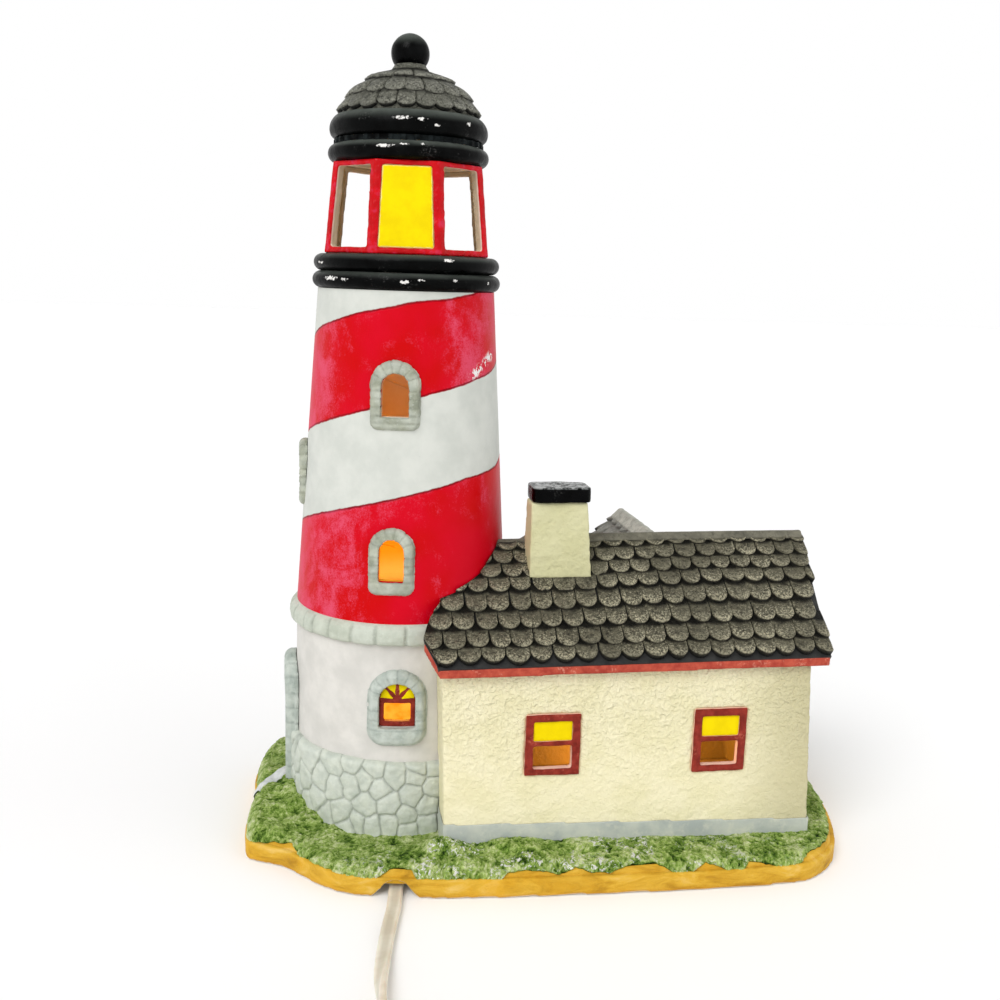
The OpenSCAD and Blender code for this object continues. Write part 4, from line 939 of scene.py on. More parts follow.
EDGE = np.array([
    (-60, 6.5), (-58.8, 6.5), (-51.8, 7.6), (-44.1, 8.9), (-38.2, 5.4), (-30.9, 6.3), (-26.6, 4.4), (-20.8, 3.9), (-16.5, 4.8), (-11.4, 7.9),
    (-7.8, 9.4), (-1.3, 9.5), (0.6, 6.6), (3.2, 4.4), (8.0, 4.1), (12.7, 6.4), (18.7, 5.5), (29, 5.6), (32.8, 8.4), (38.8, 9.3), (46.3, 8.7),
    (51.4, 7.5), (57, 9.3), (62.7, 8.0), (69.2, 7.5), (72.8, 8.6), (77.7, 9.6), (85.8, 9.6), (90.2, 8.2), (95.4, 5.8), (99.7, 6.7),
    (105, 9.1), (109.6, 8.1), (114.2, 6.3), (118.7, 6.4), (121.7, 8.7), (129.4, 7.6), (134, 5.8), (139.7, 5.3), (144, 8.2), (147.6, 9.3),
    (154, 9.4), (161, 9.4), (176, 9.0)])
SH = 4.6        # width of the rounded shoulder of the bank
OFF = 1.7       # how far the bank stands back from the base's outline


def make_grass():
    pts, nrm = outline(0.5)
    n = len(pts)
    rng = random.Random(7)
    seg = np.linalg.norm(np.roll(pts, -1, 0) - pts, axis=1)
    s = np.concatenate([[0], np.cumsum(seg)[:-1]])
    L = seg.sum()
    # lower edge: measured along the front, uneven scallops round the sides and back
    knots, z = [0.0], 0.0
    while z < L - 14:
        z += rng.uniform(9, 20)
        knots.append(min(z, L))
    knots[-1] = L
    ez = np.zeros(n)
    for a, b in zip(knots[:-1], knots[1:]):
        m = (s >= a) & (s <= b)
        t = (s[m] - a) / max(b - a, 1e-6)
        ez[m] = 8.9 - rng.uniform(1.6, 4.0) * np.sin(math.pi * t) ** 0.8
    front = np.interp(pts[:, 0], EDGE[:, 0], EDGE[:, 1])
    k = smooth((-24 - pts[:, 1]) / 10.0)
    ez = ez * (1 - k) + front * k
    ez += 0.45 * nz(np.stack([s, s * 0, s * 0], 1), 3.0, 3.1) + 0.25 * nz(np.stack([s, s * 0, s * 0], 1), 1.3, 6.1)
    cen = np.stack([np.clip(pts[:, 0], -6, 118), np.full(n, -6.0)], 1)
    inward = cen - pts
    dist = np.linalg.norm(inward, axis=1)
    inward /= dist[:, None]
    zt = ground(pts + inward * (OFF + SH))
    zt = np.maximum(zt, 9.6)
    ez = np.minimum(ez, zt - 0.6)

    def at(zz):
        """Offset and outward slope of the bank at height zz."""
        k = np.clip((zz - 6.6) / (zt - 6.6), 0, 1)
        off = -OFF - SH * (1 - np.sqrt(np.clip(1 - k * k, 0, 1)))
        return off, np.sqrt(np.clip(1 - k * k, 0, 1)), k

    rows, side, upd = [], [], []
    for f, lift in ((0.0, -0.5), (0.0, 0.35), (0.04, 0.8), (0.12, 0.75), (0.2, 0.7), (0.3, 0.7), (0.4, 0.7), (0.5, 0.7), (0.6, 0.7), (0.7, 0.7), (0.79, 0.7), (0.87, 0.7), (0.93, 0.7), (0.97, 0.7), (0.993, 0.7)):
        zz = ez + (zt - ez) * f
        off, c, k = at(zz)
        q = pts + nrm * (off + c * lift)[:, None]
        rows.append(np.column_stack([q, zz + k * lift - (0.15 if f == 0.0 else 0.0)]))
        side.append(np.stack([c, k], 1))
        # up is lowest on the bank's underside, which the grass paint turns darkest as painted shade
        upd.append(np.full(n, -0.5 if lift < 0 else (0.1 if f == 0.0 else 0.5)))
    d = OFF + SH
    while d < 60:
        step = 0.55 if d < 22 else 1.6
        d += step
        q = pts + inward * np.minimum(np.full(n, d), dist * 0.98)[:, None]
        g = ground(q)
        t = smooth((d - OFF - SH) / 5.0)
        g = zt + (g - zt) * t + 0.7
        rows.append(np.column_stack([q, g]))
        side.append(np.stack([np.zeros(n), np.ones(n)], 1))
        upd.append(np.full(n, 0.5))
    A = np.array(rows)
    K = len(A)
    flat = A.transpose(1, 0, 2).reshape(-1, 3)
    sd = np.array(side).transpose(1, 0, 2).reshape(-1, 2)
    up = np.array(upd).T.reshape(-1)
    # tufts: short leaves pressed into the clay, in clumps
    warp = flat + 0.9 * np.stack([nz(flat, 2.4, 11.0), nz(flat, 2.4, 13.0), nz(flat, 2.4, 17.0)], 1)
    a = 1 - 2.4 * np.abs(nz(warp * np.array([1, 1, 0.6]), 2.7, 1.7))
    b = 1 - 2.4 * np.abs(nz(warp * np.array([1.3, 1, 0.6]), 1.5, 5.2))
    c = nz(flat, 6.5, 8.8)
    lump = 0.5 * a + 0.45 * b + 0.55 * c - 0.4
    rowi = np.tile(np.arange(K), n)
    amt = np.where(rowi < 1, 0.0, np.where(rowi < 2, 0.3, 0.8))
    nn = np.repeat(nrm, K, axis=0)
    lump = np.clip(lump, -1.3, 1.25)
    flat[:, 0] += nn[:, 0] * lump * amt * sd[:, 0]
    flat[:, 1] += nn[:, 1] * lump * amt * sd[:, 0]
    flat[:, 2] += lump * amt * sd[:, 1]
    up = np.clip(up + 0.45 * lump, 0, 1)
    # open under the tower and the cottage
    keep = []
    for f in grid_faces(n, K, wrap_u=True):
        c = flat[list(f)].mean(0)
        if 15.5 < c[0] < 148.2 and -54.9 < c[1] < 20.4 or np.hypot(c[0], c[1]) < 39.0:
            continue
        keep.append(f)
    obj = mesh_obj("grass", flat, keep, mats=[M["grass"]])
    attr(obj, "up", up)
    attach(obj, "lighthouse")
    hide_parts("grass_bank")
    # the sand bank that shows where the grass stops short of the rim
    rows = []
    for zz in (4.5, 5.5, 6.3, 6.9, 7.4, 7.9, 8.4, 8.9, 9.3):
        z1 = np.minimum(np.full(n, zz), zt - 0.2)
        off, c, k = at(z1)
        rows.append(np.column_stack([pts + nrm * off[:, None], z1]))
    B = np.array(rows)
    fl = B.transpose(1, 0, 2).reshape(-1, 3)
    fl[:, 2] += 0.12 * nz(fl, 4.0, 2.0)
    o = mesh_obj("sand_shoulder", fl, grid_faces(n, len(B), wrap_u=True), mats=[M["sand"]])
    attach(o, "lighthouse")
    return obj


def flip_if_down(obj):
    n = normals_of(obj)
    c = co_of(obj)
    return obj


make_grass()

soften("sand_base", "sand_rim", 0.75, 6, M["sand"], disp=lambda c, n: nz(c, 7.0, 2.2) * 0.22 + nz(c * np.array([1, 1, 3.0]), 9.0, 4.0) * 0.12 - 0.05)


def make_path():
    tree = BVHTree.FromObject(bpy.data.objects["grass"], bpy.context.evaluated_depsgraph_get())
    cl = catmull([(-57.0, -12.4, 0), (-55.2, -9.8, 0), (-52.6, -7.2, 0), (-49.0, -4.2, 0), (-44, -0.4, 0)], 12)
    vs, K = [], 11
    for i, p in enumerate(cl):
        a, b = cl[max(i - 1, 0)], cl[min(i + 1, len(cl) - 1)]
        d = (b - a)[:2]
        d /= np.linalg.norm(d)
        u = np.array([-d[1], d[0]])
        for k in range(K):
            s = (k / (K - 1) - 0.5) * 6.0
            for f in (1.0, 0.85, 0.7, 0.55, 0.4, 0.25, 0.1, 0.0):
                q = p[:2] + u * s * f
                zs = []
                for ox, oy in ((0, 0), (0.8, 0), (-0.8, 0), (0, 0.8), (0, -0.8)):
                    hit = tree.ray_cast(P(q[0] + ox, q[1] + oy, 60), Vector((0, 0, -1)))
                    if hit[0] is not None:
                        zs.append(hit[0].z * 1000)
                if len(zs) == 5:
                    break
            g = max(zs) + 0.35 if zs else 7.0
            edge = k in (0, K - 1)
            vs.append([q[0], q[1], g - (2.2 if edge else 0.0) + 0.2 * noise.noise(Vector((q[0] * 0.5, q[1] * 0.5, 0)))])
    n = len(cl)
    Z = np.array([v[2] for v in vs]).reshape(n, K)
    for _ in range(3):
        Zs = Z.copy()
        Zs[1:-1] = (Z[:-2] + Z[1:-1] * 2 + Z[2:]) / 4
        Zs[:, 1:-1] = (Zs[:, :-2] + Zs[:, 1:-1] * 4 + Zs[:, 2:]) / 6
        Z[:, 1:-1] = Zs[:, 1:-1]
    for v, z in zip(vs, Z.reshape(-1)):
        v[2] = float(z)
    obj = mesh_obj("path", [tuple(v) for v in vs], grid_faces(n, K), mats=[M["path"]])
    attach(obj, "lighthouse")
    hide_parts("door_path")


make_path()


# ------------------------------------------------------------------ tower stonework
def ring_surface(name, node, prof, n, fn, mat):
    """prof: (r, z) points; fn(theta_deg array, s index array, r, z) -> dr, dz, joint, cell."""
    prof = np.array(prof, float)
    k = len(prof)
    th = np.linspace(-180, 180, n, endpoint=False)
    T, R, Z = np.repeat(th, k), np.tile(prof[:, 0], n), np.tile(prof[:, 1], n)
    dr, dz, joint, cell = fn(T, R, Z)
    R2, Z2 = R + dr, Z + dz
    a = np.radians(T)
    vs = np.stack([R2 * np.sin(a), -R2 * np.cos(a), Z2], 1)
    obj = mesh_obj(name, vs, grid_faces(n, k, wrap_u=True), mats=[mat])
    attr(obj, "joint", joint)
    attr(obj, "cell", cell)
    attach(obj, "lighthouse")
    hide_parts(node)
    return obj


def stones_foundation():
    rng = random.Random(21)
    seeds = []
    circ = 2 * math.pi * 43.5
    rows = [(9.0, 7.2), (16.0, 7.2), (22.8, 7.0), (29.3, 6.6), (35.8, 6.6)]
    for ri, (z, h) in enumerate(rows):
        k = int(circ / rng.uniform(7.4, 8.8))
        off = rng.random()
        for i in range(k):
            s = (i + off + rng.uniform(-0.24, 0.24)) / k * circ
            if rng.random() < 0.12:
                continue
            seeds.append((s, z + rng.uniform(-2.0, 2.0), rng.random()))
    front = [(-56.2, 34.0), (-61.1, 24.9), (-47.1, 28.6), (-50.2, 18.0), (-58.1, 15.0), (-38.9, 26.5), (-39.6, 34.8), (-29.4, 37.3),
             (-29.8, 28.9), (-34.4, 16.4), (-17.5, 36.0), (-21.6, 32.0), (-14.2, 28.4), (-7.2, 34.0), (3.5, 33.3), (5.5, 37.3),
             (12.3, 37.2), (12.6, 28.8), (2.1, 25.9), (-20.9, 20.8), (-10.0, 22.3), (-25.2, 13.6), (-18.2, 13.1), (-9.4, 14.4),
             (-0.8, 17.2), (-0.1, 12.0), (9.6, 20.8), (9.7, 14.0), (-31.4, 11.0), (-71.6, 27.4), (-68.6, 20.5), (-45.6, 13.9)]
    lo, hi = math.radians(180 - 74) * 43.5, math.radians(180 + 16) * 43.5
    seeds = [q for q in seeds if not lo < q[0] < hi]
    seeds += [(math.radians(t + 180) * 43.5, z, rng.random()) for t, z in front]
    S = np.array(seeds)
    S3 = np.concatenate([S, S + [circ, 0, 0], S - [circ, 0, 0]])

    def fn(T, R, Z):
        s = np.radians(T + 180) * 43.5
        wx = nz(np.stack([s, Z, Z * 0], 1), 3.6, 1.0) * 0.55
        wz = nz(np.stack([s, Z, Z * 0], 1), 3.6, 7.0) * 0.55
        ps, pz = s + wx, Z + wz
        d1 = np.full(len(s), 1e9)
        d2 = np.full(len(s), 1e9)
        idx = np.zeros(len(s), int)
        for j, (a, b, c) in enumerate(S3):
            d = np.hypot(ps - a, (pz - b) * 0.86)
            m1 = d < d1
            d2 = np.where(m1, d1, np.minimum(d2, d))
            idx = np.where(m1, j, idx)
            d1 = np.where(m1, d, d1)
        gap = d2 - d1
        joint = 1 - smooth((gap - 0.05) / 1.0)
        cell = S3[idx, 2]
        ztop = np.interp(T, [-180, -101, -60, -30, -15, 15, 60, 180], [40.2, 40.0, 38.8, 38.8, 38.4, 37.9, 38.4, 40.2])
        dr = -0.5 * joint + 0.45 * (1 - np.exp(-gap / 1.6)) - 0.3 + 0.3 * (cell - 0.5) + 0.3 * nz(np.stack([s, Z, Z * 0], 1), 2.4, 3.3)
        dr = dr * (R > 42.5)
        # left open behind the door
        dr = np.where((np.abs(T + 93.0) < 12.4) & (Z > 11.9), 38.6 - R, dr)
        dz = np.where(Z > 30, (ztop - 40.0) * (Z - 30) / 10.0, 0)
        dz = dz + np.where(Z > 36, 0.35 * nz(np.stack([s, Z * 0, Z * 0], 1), 5.0, 2.2), 0)
        return dr, dz, joint, cell
    prof = [(43.7, z) for z in np.arange(7.0, 37.6, 0.5)] + [(43.6, 38.2), (43.35, 38.8), (42.9, 39.3), (42.2, 39.7), (41.3, 40.0), (40.6, 40.0)]
    ring_surface("foundation_stones", "stone_foundation", prof, 1080, fn, M["stone"])


def stones_band():
    rng = random.Random(5)
    edges = [-180.0]
    # joints seen from the front are placed first
    fixed = [-55, -43.5, -30, -17.5, -2.5, 11.5]
    t = -180.0
    while t < -67:
        t += rng.uniform(11, 14)
        edges.append(t)
    edges = [e for e in edges if e < -60] + fixed
    t = fixed[-1]
    while t < 166:
        t += rng.uniform(11, 14.5)
        edges.append(t)
    edges = np.array([e for e in edges if e < 172] + [180.0])
    props = [(rng.uniform(-0.3, 0.35), rng.uniform(-0.5, 0.5), rng.random(), rng.uniform(-0.4, 0.4)) for _ in edges]

    def fn(T, R, Z):
        i = np.searchsorted(edges, T, side="right") - 1
        i = np.clip(i, 0, len(edges) - 2)
        lo, hi = edges[i], edges[i + 1]
        d = np.minimum(T - lo, hi - T) * math.pi / 180 * 43
        joint = 1 - smooth((d - 0.15) / 0.9)
        pr = np.array(props)[i]
        p3 = np.stack([R * np.sin(np.radians(T)), R * np.cos(np.radians(T)), Z], 1)
        outer = smooth((R - 40.8) / 1.2)
        dr = outer * (-0.4 * joint + pr[:, 0] * 0.5 + 0.22 * nz(p3, 3.0, 2.0) - 0.15)
        dz = outer * (pr[:, 3] * 0.8) * np.sign(Z - 87) * 0.6 + 0.2 * nz(p3, 4.0, 6.0) * outer
        return dr, dz, joint * outer, pr[:, 2]
    prof = fillet([(40.3, 83.5), (42.6, 83.3), (43.2, 83.9), (43.55, 85.2), (43.45, 87.0), (43.0, 88.6), (42.2, 89.7), (41.2, 90.4), (40.3, 90.8)], 0.45)
    ring_surface("band_stones", "stone_band", prof, 900, fn, M["bandstone"])


stones_foundation()
stones_band()
use("tower_wall", M["tower"])
use("tower_floor", M["bare"])
use("gallery_floor", M["bare"])


def surround_stones(node, name, a_deg, z0, w, h, joints, ow, oh, oz, face, voxel=0.34, depth=0.22, round_r=2.4, rc=3.2):
    a0 = math.radians(a_deg)

    def inside(u, v, ww, hh, zz):
        c = zz + hh - ww / 2
        low = np.minimum(ww / 2 - np.abs(u), v - zz)
        qu, qv = np.abs(u) - (ww / 2 - rc), zz + rc - v
        low = np.where((qu > 0) & (qv > 0) & (ww > w - 0.1), rc - np.hypot(qu, qv), low)
        return np.where(v > c, ww / 2 - np.hypot(u, v - c), low)

    o = soften(node, name, voxel, 3, M["surround_low" if node in ("ground_window_surround", "door_surround") else "surround"])
    c, n = co_of(o), normals_of(o)
    th = np.arctan2(c[:, 0], -c[:, 1])
    rad = np.hypot(c[:, 0], c[:, 1])
    da = (th - a0 + math.pi) % (2 * math.pi) - math.pi
    u = np.sin(da) * rad
    v = c[:, 2]
    cz = z0 + h - w / 2
    ang = np.degrees(np.arctan2(v - cz, u))
    g = np.zeros(len(u))
    arch = v > cz
    for k in joints[0]:
        d = np.abs(ang - k) * math.pi / 180 * w / 2
        g = np.maximum(g, np.where(arch, 1 - smooth((d - 0.1) / 0.6), 0))
    for k in joints[1]:
        g = np.maximum(g, np.where(~arch, 1 - smooth((np.abs(v - k) - 0.1) / 0.6), 0))
    push = -depth * g + 0.24 * nz(c, 2.2, 4.4) + 0.16 * nz(c, 0.9, 1.1) - 0.1
    c = c + n * push[:, None]
    out = np.clip(inside(u, v, w, h, z0), 0, 50)
    hole = np.clip(-inside(u, v, ow, oh, oz), 0, 50)

    def drop(d, R):
        k = np.clip(1 - d / R, 0, 1)
        return R * (1 - np.sqrt(np.clip(1 - k * k, 0, 1)))
    cap = face - drop(out, round_r) - drop(hole, 1.0) * (rad > face - 2.5)
    rad2 = np.hypot(c[:, 0], c[:, 1])
    k = np.minimum(1.0, cap / rad2)
    c[:, 0] *= k
    c[:, 1] *= k
    set_co(o, c)
    attr(o, "joint", g * 0.75)
    attr(o, "cell", np.clip(0.5 + nz(c, 3.5, 2.0), 0, 1))
    return o


surround_stones("upper_window_surround", "upper_surround_stones", -10.5, 160.3, 18.4, 25, ([22, 48, 74, 100, 126, 152], [163.0, 165.6, 168.6, 171.6, 174.4]), 9.8, 15.4, 165.1, 37.6)
surround_stones("middle_window_surround", "middle_surround_stones", -10.7, 101, 17.2, 25, ([24, 52, 80, 108, 134, 158], [106.2, 109.2, 112.2, 115.2]), 9, 15.2, 106.4, 41.2)
surround_stones("side_window_surround", "side_surround_stones", -95, 127.2, 17.2, 25.2, ([24, 52, 80, 108, 134, 158], [132.4, 135.4, 138.4, 141.4]), 9, 14.6, 132.4, 39.9)
surround_stones("ground_window_surround", "ground_surround_stones", -6.4, 44.4, 22.4, 29.6, ([18, 42, 66, 90, 114, 138, 162], [51.0, 54.6, 58.4]), 13.2, 17, 51.8, 43.4, round_r=3.2, rc=6.0)
surround_stones("door_surround", "door_surround_stones", -93, 12, 24, 56.5, ([20, 48, 76, 104, 132, 160], [18, 24, 30, 36, 42, 48, 54]), 15.4, 46, 12, 45.6, voxel=0.5, round_r=3.0)
soften("ground_window_sash", "window_sash", 0.3, 2, M["redbrown"], disp=lambda c, n: 0.1 * nz(c, 2.0, 1.0))


def make_fanlight():
    """Half-round light over the sash: four panes between three rays."""
    a = math.radians(-6.4)
    zc = 62.5

    def at(u, w, r):
        d = math.sqrt(r * r - u * u)
        return (d * math.sin(a) + u * math.cos(a), -d * math.cos(a) + u * math.sin(a), zc + w)
    vs, fs = [], []
    nr, na = 7, 25
    for i in range(na):
        f = math.pi * i / (na - 1)
        for j in range(nr):
            q = 6.3 * j / (nr - 1)
            vs.append(at(q * math.cos(f), q * math.sin(f), 40.46 - (0.3 if j == nr - 1 else 0.0)))
    back = mesh_obj("fan_rays", vs, grid_faces(na, nr), mats=[M["redbrown"]])
    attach(back, "lighthouse")
    vs, fs = [], []
    for (f0, f1) in ((2, 40), (50, 84), (96, 130), (140, 178)):
        base = len(vs)
        na, nr = 11, 9
        for i in range(na):
            for j in range(nr):
                q = 1.5 + 4.7 * j / (nr - 1)
                lean = 26.0 * max(0.0, 1 - (q - 1.5) / 3.2) ** 1.5
                g0 = f0 + (lean if f0 > 10 else 0)
                g1 = f1 - (lean if f1 < 170 else 0)
                m = (g0 + g1) / 2
                g0, g1 = min(g0, m - 2), max(g1, m + 2)
                f = math.radians(g0 + (g1 - g0) * i / (na - 1))
                rim = i in (0, na - 1) or j in (0, nr - 1)
                vs.append(at(q * math.cos(f), q * math.sin(f), 40.38 if rim else 40.72 + 0.05 * noise.noise(Vector((q, f * 4, f0)))))
        fs += grid_faces(na, nr, base=base)
    panes = mesh_obj("fan_glass", vs, fs, mats=[M["amber"]])
    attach(panes, "lighthouse")
    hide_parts("fanlight_panes")


make_fanlight()
soften("tower_door", "door", 0.45, 2, M["door"], disp=lambda c, n: 0.08 * nz(c * np.array([1, 1, 0.3]), 1.5, 1.0))


# ------------------------------------------------------------------ gallery, lantern, dome
def wobble(seed, amp=0.12, scale=14.0):
    def f(t, j, r, z):
        q = Vector((r * math.sin(t) / scale + seed, -r * math.cos(t) / scale, z / scale))
        s = noise.noise(q)
        s2 = noise.noise(q * 4.0)
        return (amp * s + 0.3 * amp * s2, amp * 0.6 * noise.noise(q + Vector((9, 3, 1))))
    return f


def put_ring(name, node, prof, mat, seed, amp=0.12):
    o = revolve(name, prof, 480, mat, wobble(seed, amp), closed=True)
    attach(o, "lighthouse")
    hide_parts(node)
    return o


ring_flare = [tuple(q[:2]) for q in catmull([(25.8, 262, 0), (27.3, 262.4, 0), (28.4, 263.5, 0), (28.85, 265.1, 0), (28.75, 266.7, 0), (28.2, 268.2, 0), (27.3, 269.5, 0), (26.3, 270.4, 0), (25.4, 270.7, 0)], 4)]
put_ring("gallery_ring_low", "gallery_lower_ring", [(31, 209), (31.4, 209)] + arc(31.8, 212.1, 3.1, -90, 90, 22) + [(31.0, 215.2)], M["black_g1"], 1.0)
put_ring("gallery_ring_up", "gallery_upper_ring", [(25, 215.2), (30.6, 215.2)] + arc(31.3, 218.3, 3.1, -90, 90, 20) + [(30.2, 221.4), (25, 221.4)], M["black_g2"], 2.0)
put_ring("dome_ring_low", "dome_lower_ring", [(20, 253.7), (25.0, 253.7)] + arc(26.1, 257, 3.3, -90, 90, 22) + [(24, 260.3), (20, 260.3)], M["black_d1"], 3.0)
put_ring("dome_ring_up", "dome_upper_ring", [(20, 262), (25.4, 262)] + ring_flare + [(20, 270.5)], M["black_d2"], 4.0)


def dentils():
    n, K = 720, 7
    vs = []
    for i in range(n):
        th = 360.0 * i / n
        k = (th + 4) % 10.0
        up = smooth(np.array([(1.9 - abs(k - 5.0)) / 0.7 + 0.5]))[0] * 0.8
        for j in range(K):
            z = 260.2 + 1.9 * j / (K - 1)
            r = 26.5 + up * (1.0 if j < 5 else 0.7) + 0.4 * (j / (K - 1) - 0.5) ** 2
            a = math.radians(th)
            vs.append((r * math.sin(a), -r * math.cos(a), z))
    o = mesh_obj("dentils", vs, grid_faces(n, K, wrap_u=True), mats=[M["black_d3"]])
    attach(o, "lighthouse")
    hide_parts("dome_dentil_course")


dentils()
soften("lantern_frame", "lantern", 0.42, 8, M["lantern"], disp=lambda c, n: 0.16 * nz(c, 5.0, 1.0) + 0.06 * nz(c, 1.5, 2.0) - 0.05)
soften("lantern_panes", "lantern_glass", 0.42, 1, M["lantern_yellow"], disp=lambda c, n: 0.06 * nz(c, 4.0, 1.0))


class Tiles:
    """Collects fish-scale tiles; fn maps (across, down, height) of each tile to the surface."""
    def __init__(self):
        self.v, self.f, self.up, self.cell, self.low = [], [], [], [], []

    def add(self, fn, u0, w, v0, v1, scallop, h_top, h_bot, rng, nu=11, nv=9, snap=None, worn=False):
        base = len(self.v)
        cell = rng.random()
        skew = rng.uniform(-0.3, 0.3)
        dw = rng.uniform(0.95, 1.02)
        dv = rng.uniform(-0.4, 0.4)
        lift = rng.uniform(-0.15, 0.2)
        seed = rng.uniform(0, 50)
        rows = [k / (nv - 1) for k in range(nv)]
        for bi, b in enumerate(rows + [1.02, 1.035]):
            for ai in range(nu):
                a = -1 + 2 * ai / (nu - 1)
                a_s = math.sin(a * math.pi / 2)
                bot = v1 + dv - scallop * (1 - math.sqrt(max(0.0, 1 - (0.99 * abs(a_s)) ** 2)))
                bb = min(b, 1.0)
                v = v0 + (bot - v0) * bb
                u = u0 + a_s * w / 2 * dw + skew * bb
                h = h_top + (h_bot - h_top) * bb ** 0.8 + (0.9 if worn else 0.6) * (1 - a_s * a_s) * bb + lift * bb
                h += 0.14 * noise.noise(Vector((u * 0.7 + seed, v * 0.7, 0)))
                # edge: how far the shingle paint darkens this point, as painted shade in the joints and under the lips
                edge = 0.0
                if bi == nv - 2:
                    h -= 0.05
                if bi == nv - 1:
                    h -= 0.34
                if bi == nv:
                    v += 0.16
                    h -= 0.95
                    edge = 0.75
                if bi == nv + 1:
                    v += 0.10
                    h = -0.5
                    edge = 1.0
                # the joints of a worn roof only stay open at the lower ends
                k = float(smooth((bb - 0.66) / 0.2)) if worn else 1.0
                if ai in (0, nu - 1):
                    h -= 0.45 + 0.85 * k
                    edge = max(edge, 0.3 + 0.65 * k)
                elif ai in (1, nu - 2):
                    h -= 0.22 * k
                    edge = max(edge, 0.2)
                if snap:
                    u, v = snap(u, v)
                self.v.append(fn(u, v, h))
                self.up.append(1.0 - edge)
                self.cell.append(cell)
                self.low.append(bb * bb)
        m = len(rows) + 2
        for i in range(m - 1):
            for j in range(nu - 1):
                a = base + i * nu + j
                self.f.append((a, a + 1, a + nu + 1, a + nu))

    def build(self, name, mat, body="lighthouse"):
        o = mesh_obj(name, self.v, self.f, mats=[mat])
        attr(o, "up", self.up)
        attr(o, "cell", self.cell)
        attr(o, "low", self.low)
        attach(o, body)
        return o


def make_dome():
    prof = [(26.2, 270.2), (24.0, 273.6), (22.2, 276.6), (19.8, 279.5), (15.8, 282.3), (11.4, 284.8), (7.4, 287.0), (6.8, 287.6)]
    L = [0.0]
    for a, b in zip(prof[:-1], prof[1:]):
        L.append(L[-1] + math.dist(a, b))
    tot = L[-1]
    pr = np.array(prof)

    def at(s, h):
        """s: distance down from the top"""
        d = tot - s
        r = np.interp(d, L, pr[:, 0])
        z = np.interp(d, L, pr[:, 1])
        r2 = np.interp(min(d + 0.6, tot), L, pr[:, 0])
        z2 = np.interp(min(d + 0.6, tot), L, pr[:, 1])
        r1 = np.interp(max(d - 0.6, 0), L, pr[:, 0])
        z1 = np.interp(max(d - 0.6, 0), L, pr[:, 1])
        tx, tz = r2 - r1, z2 - z1
        n = math.hypot(tx, tz)
        return r + h * tz / n, z - h * tx / n
    t = Tiles()
    rng = random.Random(11)
    rows = [(286.6, 282.2, 13, 1.9, 0.5), (284.0, 276.6, 18, 2.6, 0.0), (279.0, 271.4, 22, 2.9, 0.5)]

    def s_of_z(z):
        zs = pr[:, 1]
        return tot - np.interp(z, zs, L)
    for (zt, zb, cnt, sc, off) in rows:
        s0, s1 = s_of_z(zt) - 2.0, s_of_z(zb)
        rr = at(s1, 0)[0]
        w = 2 * math.pi * rr / cnt
        for k in range(cnt):
            a0 = (k + off + rng.uniform(-0.06, 0.06)) * 360.0 / cnt

            def fn(u, v, h, a0=a0, w=w, cnt=cnt):
                r, z = at(v, h - 0.75)
                a = math.radians(a0 + u / w * 360.0 / cnt)
                return (r * math.sin(a), -r * math.cos(a), z)
            t.add(fn, 0.0, w * 1.0, s0, s1, sc, 0.0, 1.9, rng, snap=None)
    o = t.build("dome_shingles", M["dome"])
    base = [(r - 0.8, z - 0.3) for r, z in prof]
    inner = [(0.0, 284.4), (7, 284), (13, 280.6), (17, 277), (20, 272), (20, 269.8)]
    full = inner + [(26.1, 269.8)] + fillet(base, 0.8) + [(4.0, 287.7), (0.0, 287.7)]
    sh = revolve("dome_shell", full, 240, M["dome"], wobble(6.0, 0.1, 6.0))
    attr(sh, "up", np.full(len(sh.data.vertices), 0.75))
    attr(sh, "cell", np.full(len(sh.data.vertices), 0.3))
    attr(sh, "low", np.full(len(sh.data.vertices), 0.3))
    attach(sh, "lighthouse")
    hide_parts("dome_roof")


make_dome()
o = revolve("dome_neck", [(0.0, 287.0), (6.9, 287.0), (6.5, 287.6), (6.0, 288.2), (5.7, 288.8), (5.6, 289.2), (0.0, 289.4)], 160, M["dome"], wobble(5.0, 0.1, 5.0))
attr(o, "up", np.full(len(o.data.vertices), 0.8)); attr(o, "cell", np.full(len(o.data.vertices), 0.2)); attr(o, "low", np.full(len(o.data.vertices), 0.4))
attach(o, "lighthouse"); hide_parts("dome_collar")
o = revolve("ball_top", [(0.0, 287.2)] + arc(0, 293.0, 6.95, -58, 90, 40)[:-1] + [(0.0, 299.95)], 200, M["black_ball"], wobble(7.0, 0.08, 6.0))
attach(o, "lighthouse"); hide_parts("ball_finial")


# ------------------------------------------------------------------ cottage
def stucco_disp(c, n):
    return 0.16 * nz(c, 2.3, 1.0) + 0.09 * nz(c, 1.1, 5.0) - 0.02


soften("cottage_walls", "cottage_stucco", 0.72, 2, M["stucco"], disp=stucco_disp)
soften("wing_walls", "wing_stucco", 0.8, 2, M["stucco"], disp=stucco_disp)
soften("chimney_stack", "chimney", 0.45, 12, M["stucco"], disp=lambda c, n: stucco_disp(c, n) + 0.28 * nz(c, 8.0, 3.0))
soften("chimney_cap", "chimney_top", 0.4, 16, M["black_cap"], disp=lambda c, n: 0.26 * nz(c, 6.0, 1.0) - 0.1)
soften("cottage_plinth", "plinth", 0.6, 3, M["plinth"], disp=lambda c, n: 0.1 * nz(c, 5.0, 1.0) - 0.35)
soften("cottage_window_frames", "window_frames", 0.34, 3, M["window_frame"], disp=lambda c, n: 0.2 * nz(c, 4.5, 1.0) + 0.07 * nz(c, 1.4, 2.0))
soften("cottage_window_panes", "window_panes", 0.3, 1, M["yellow"], disp=lambda c, n: 0.05 * nz(c, 4.0, 1.0))
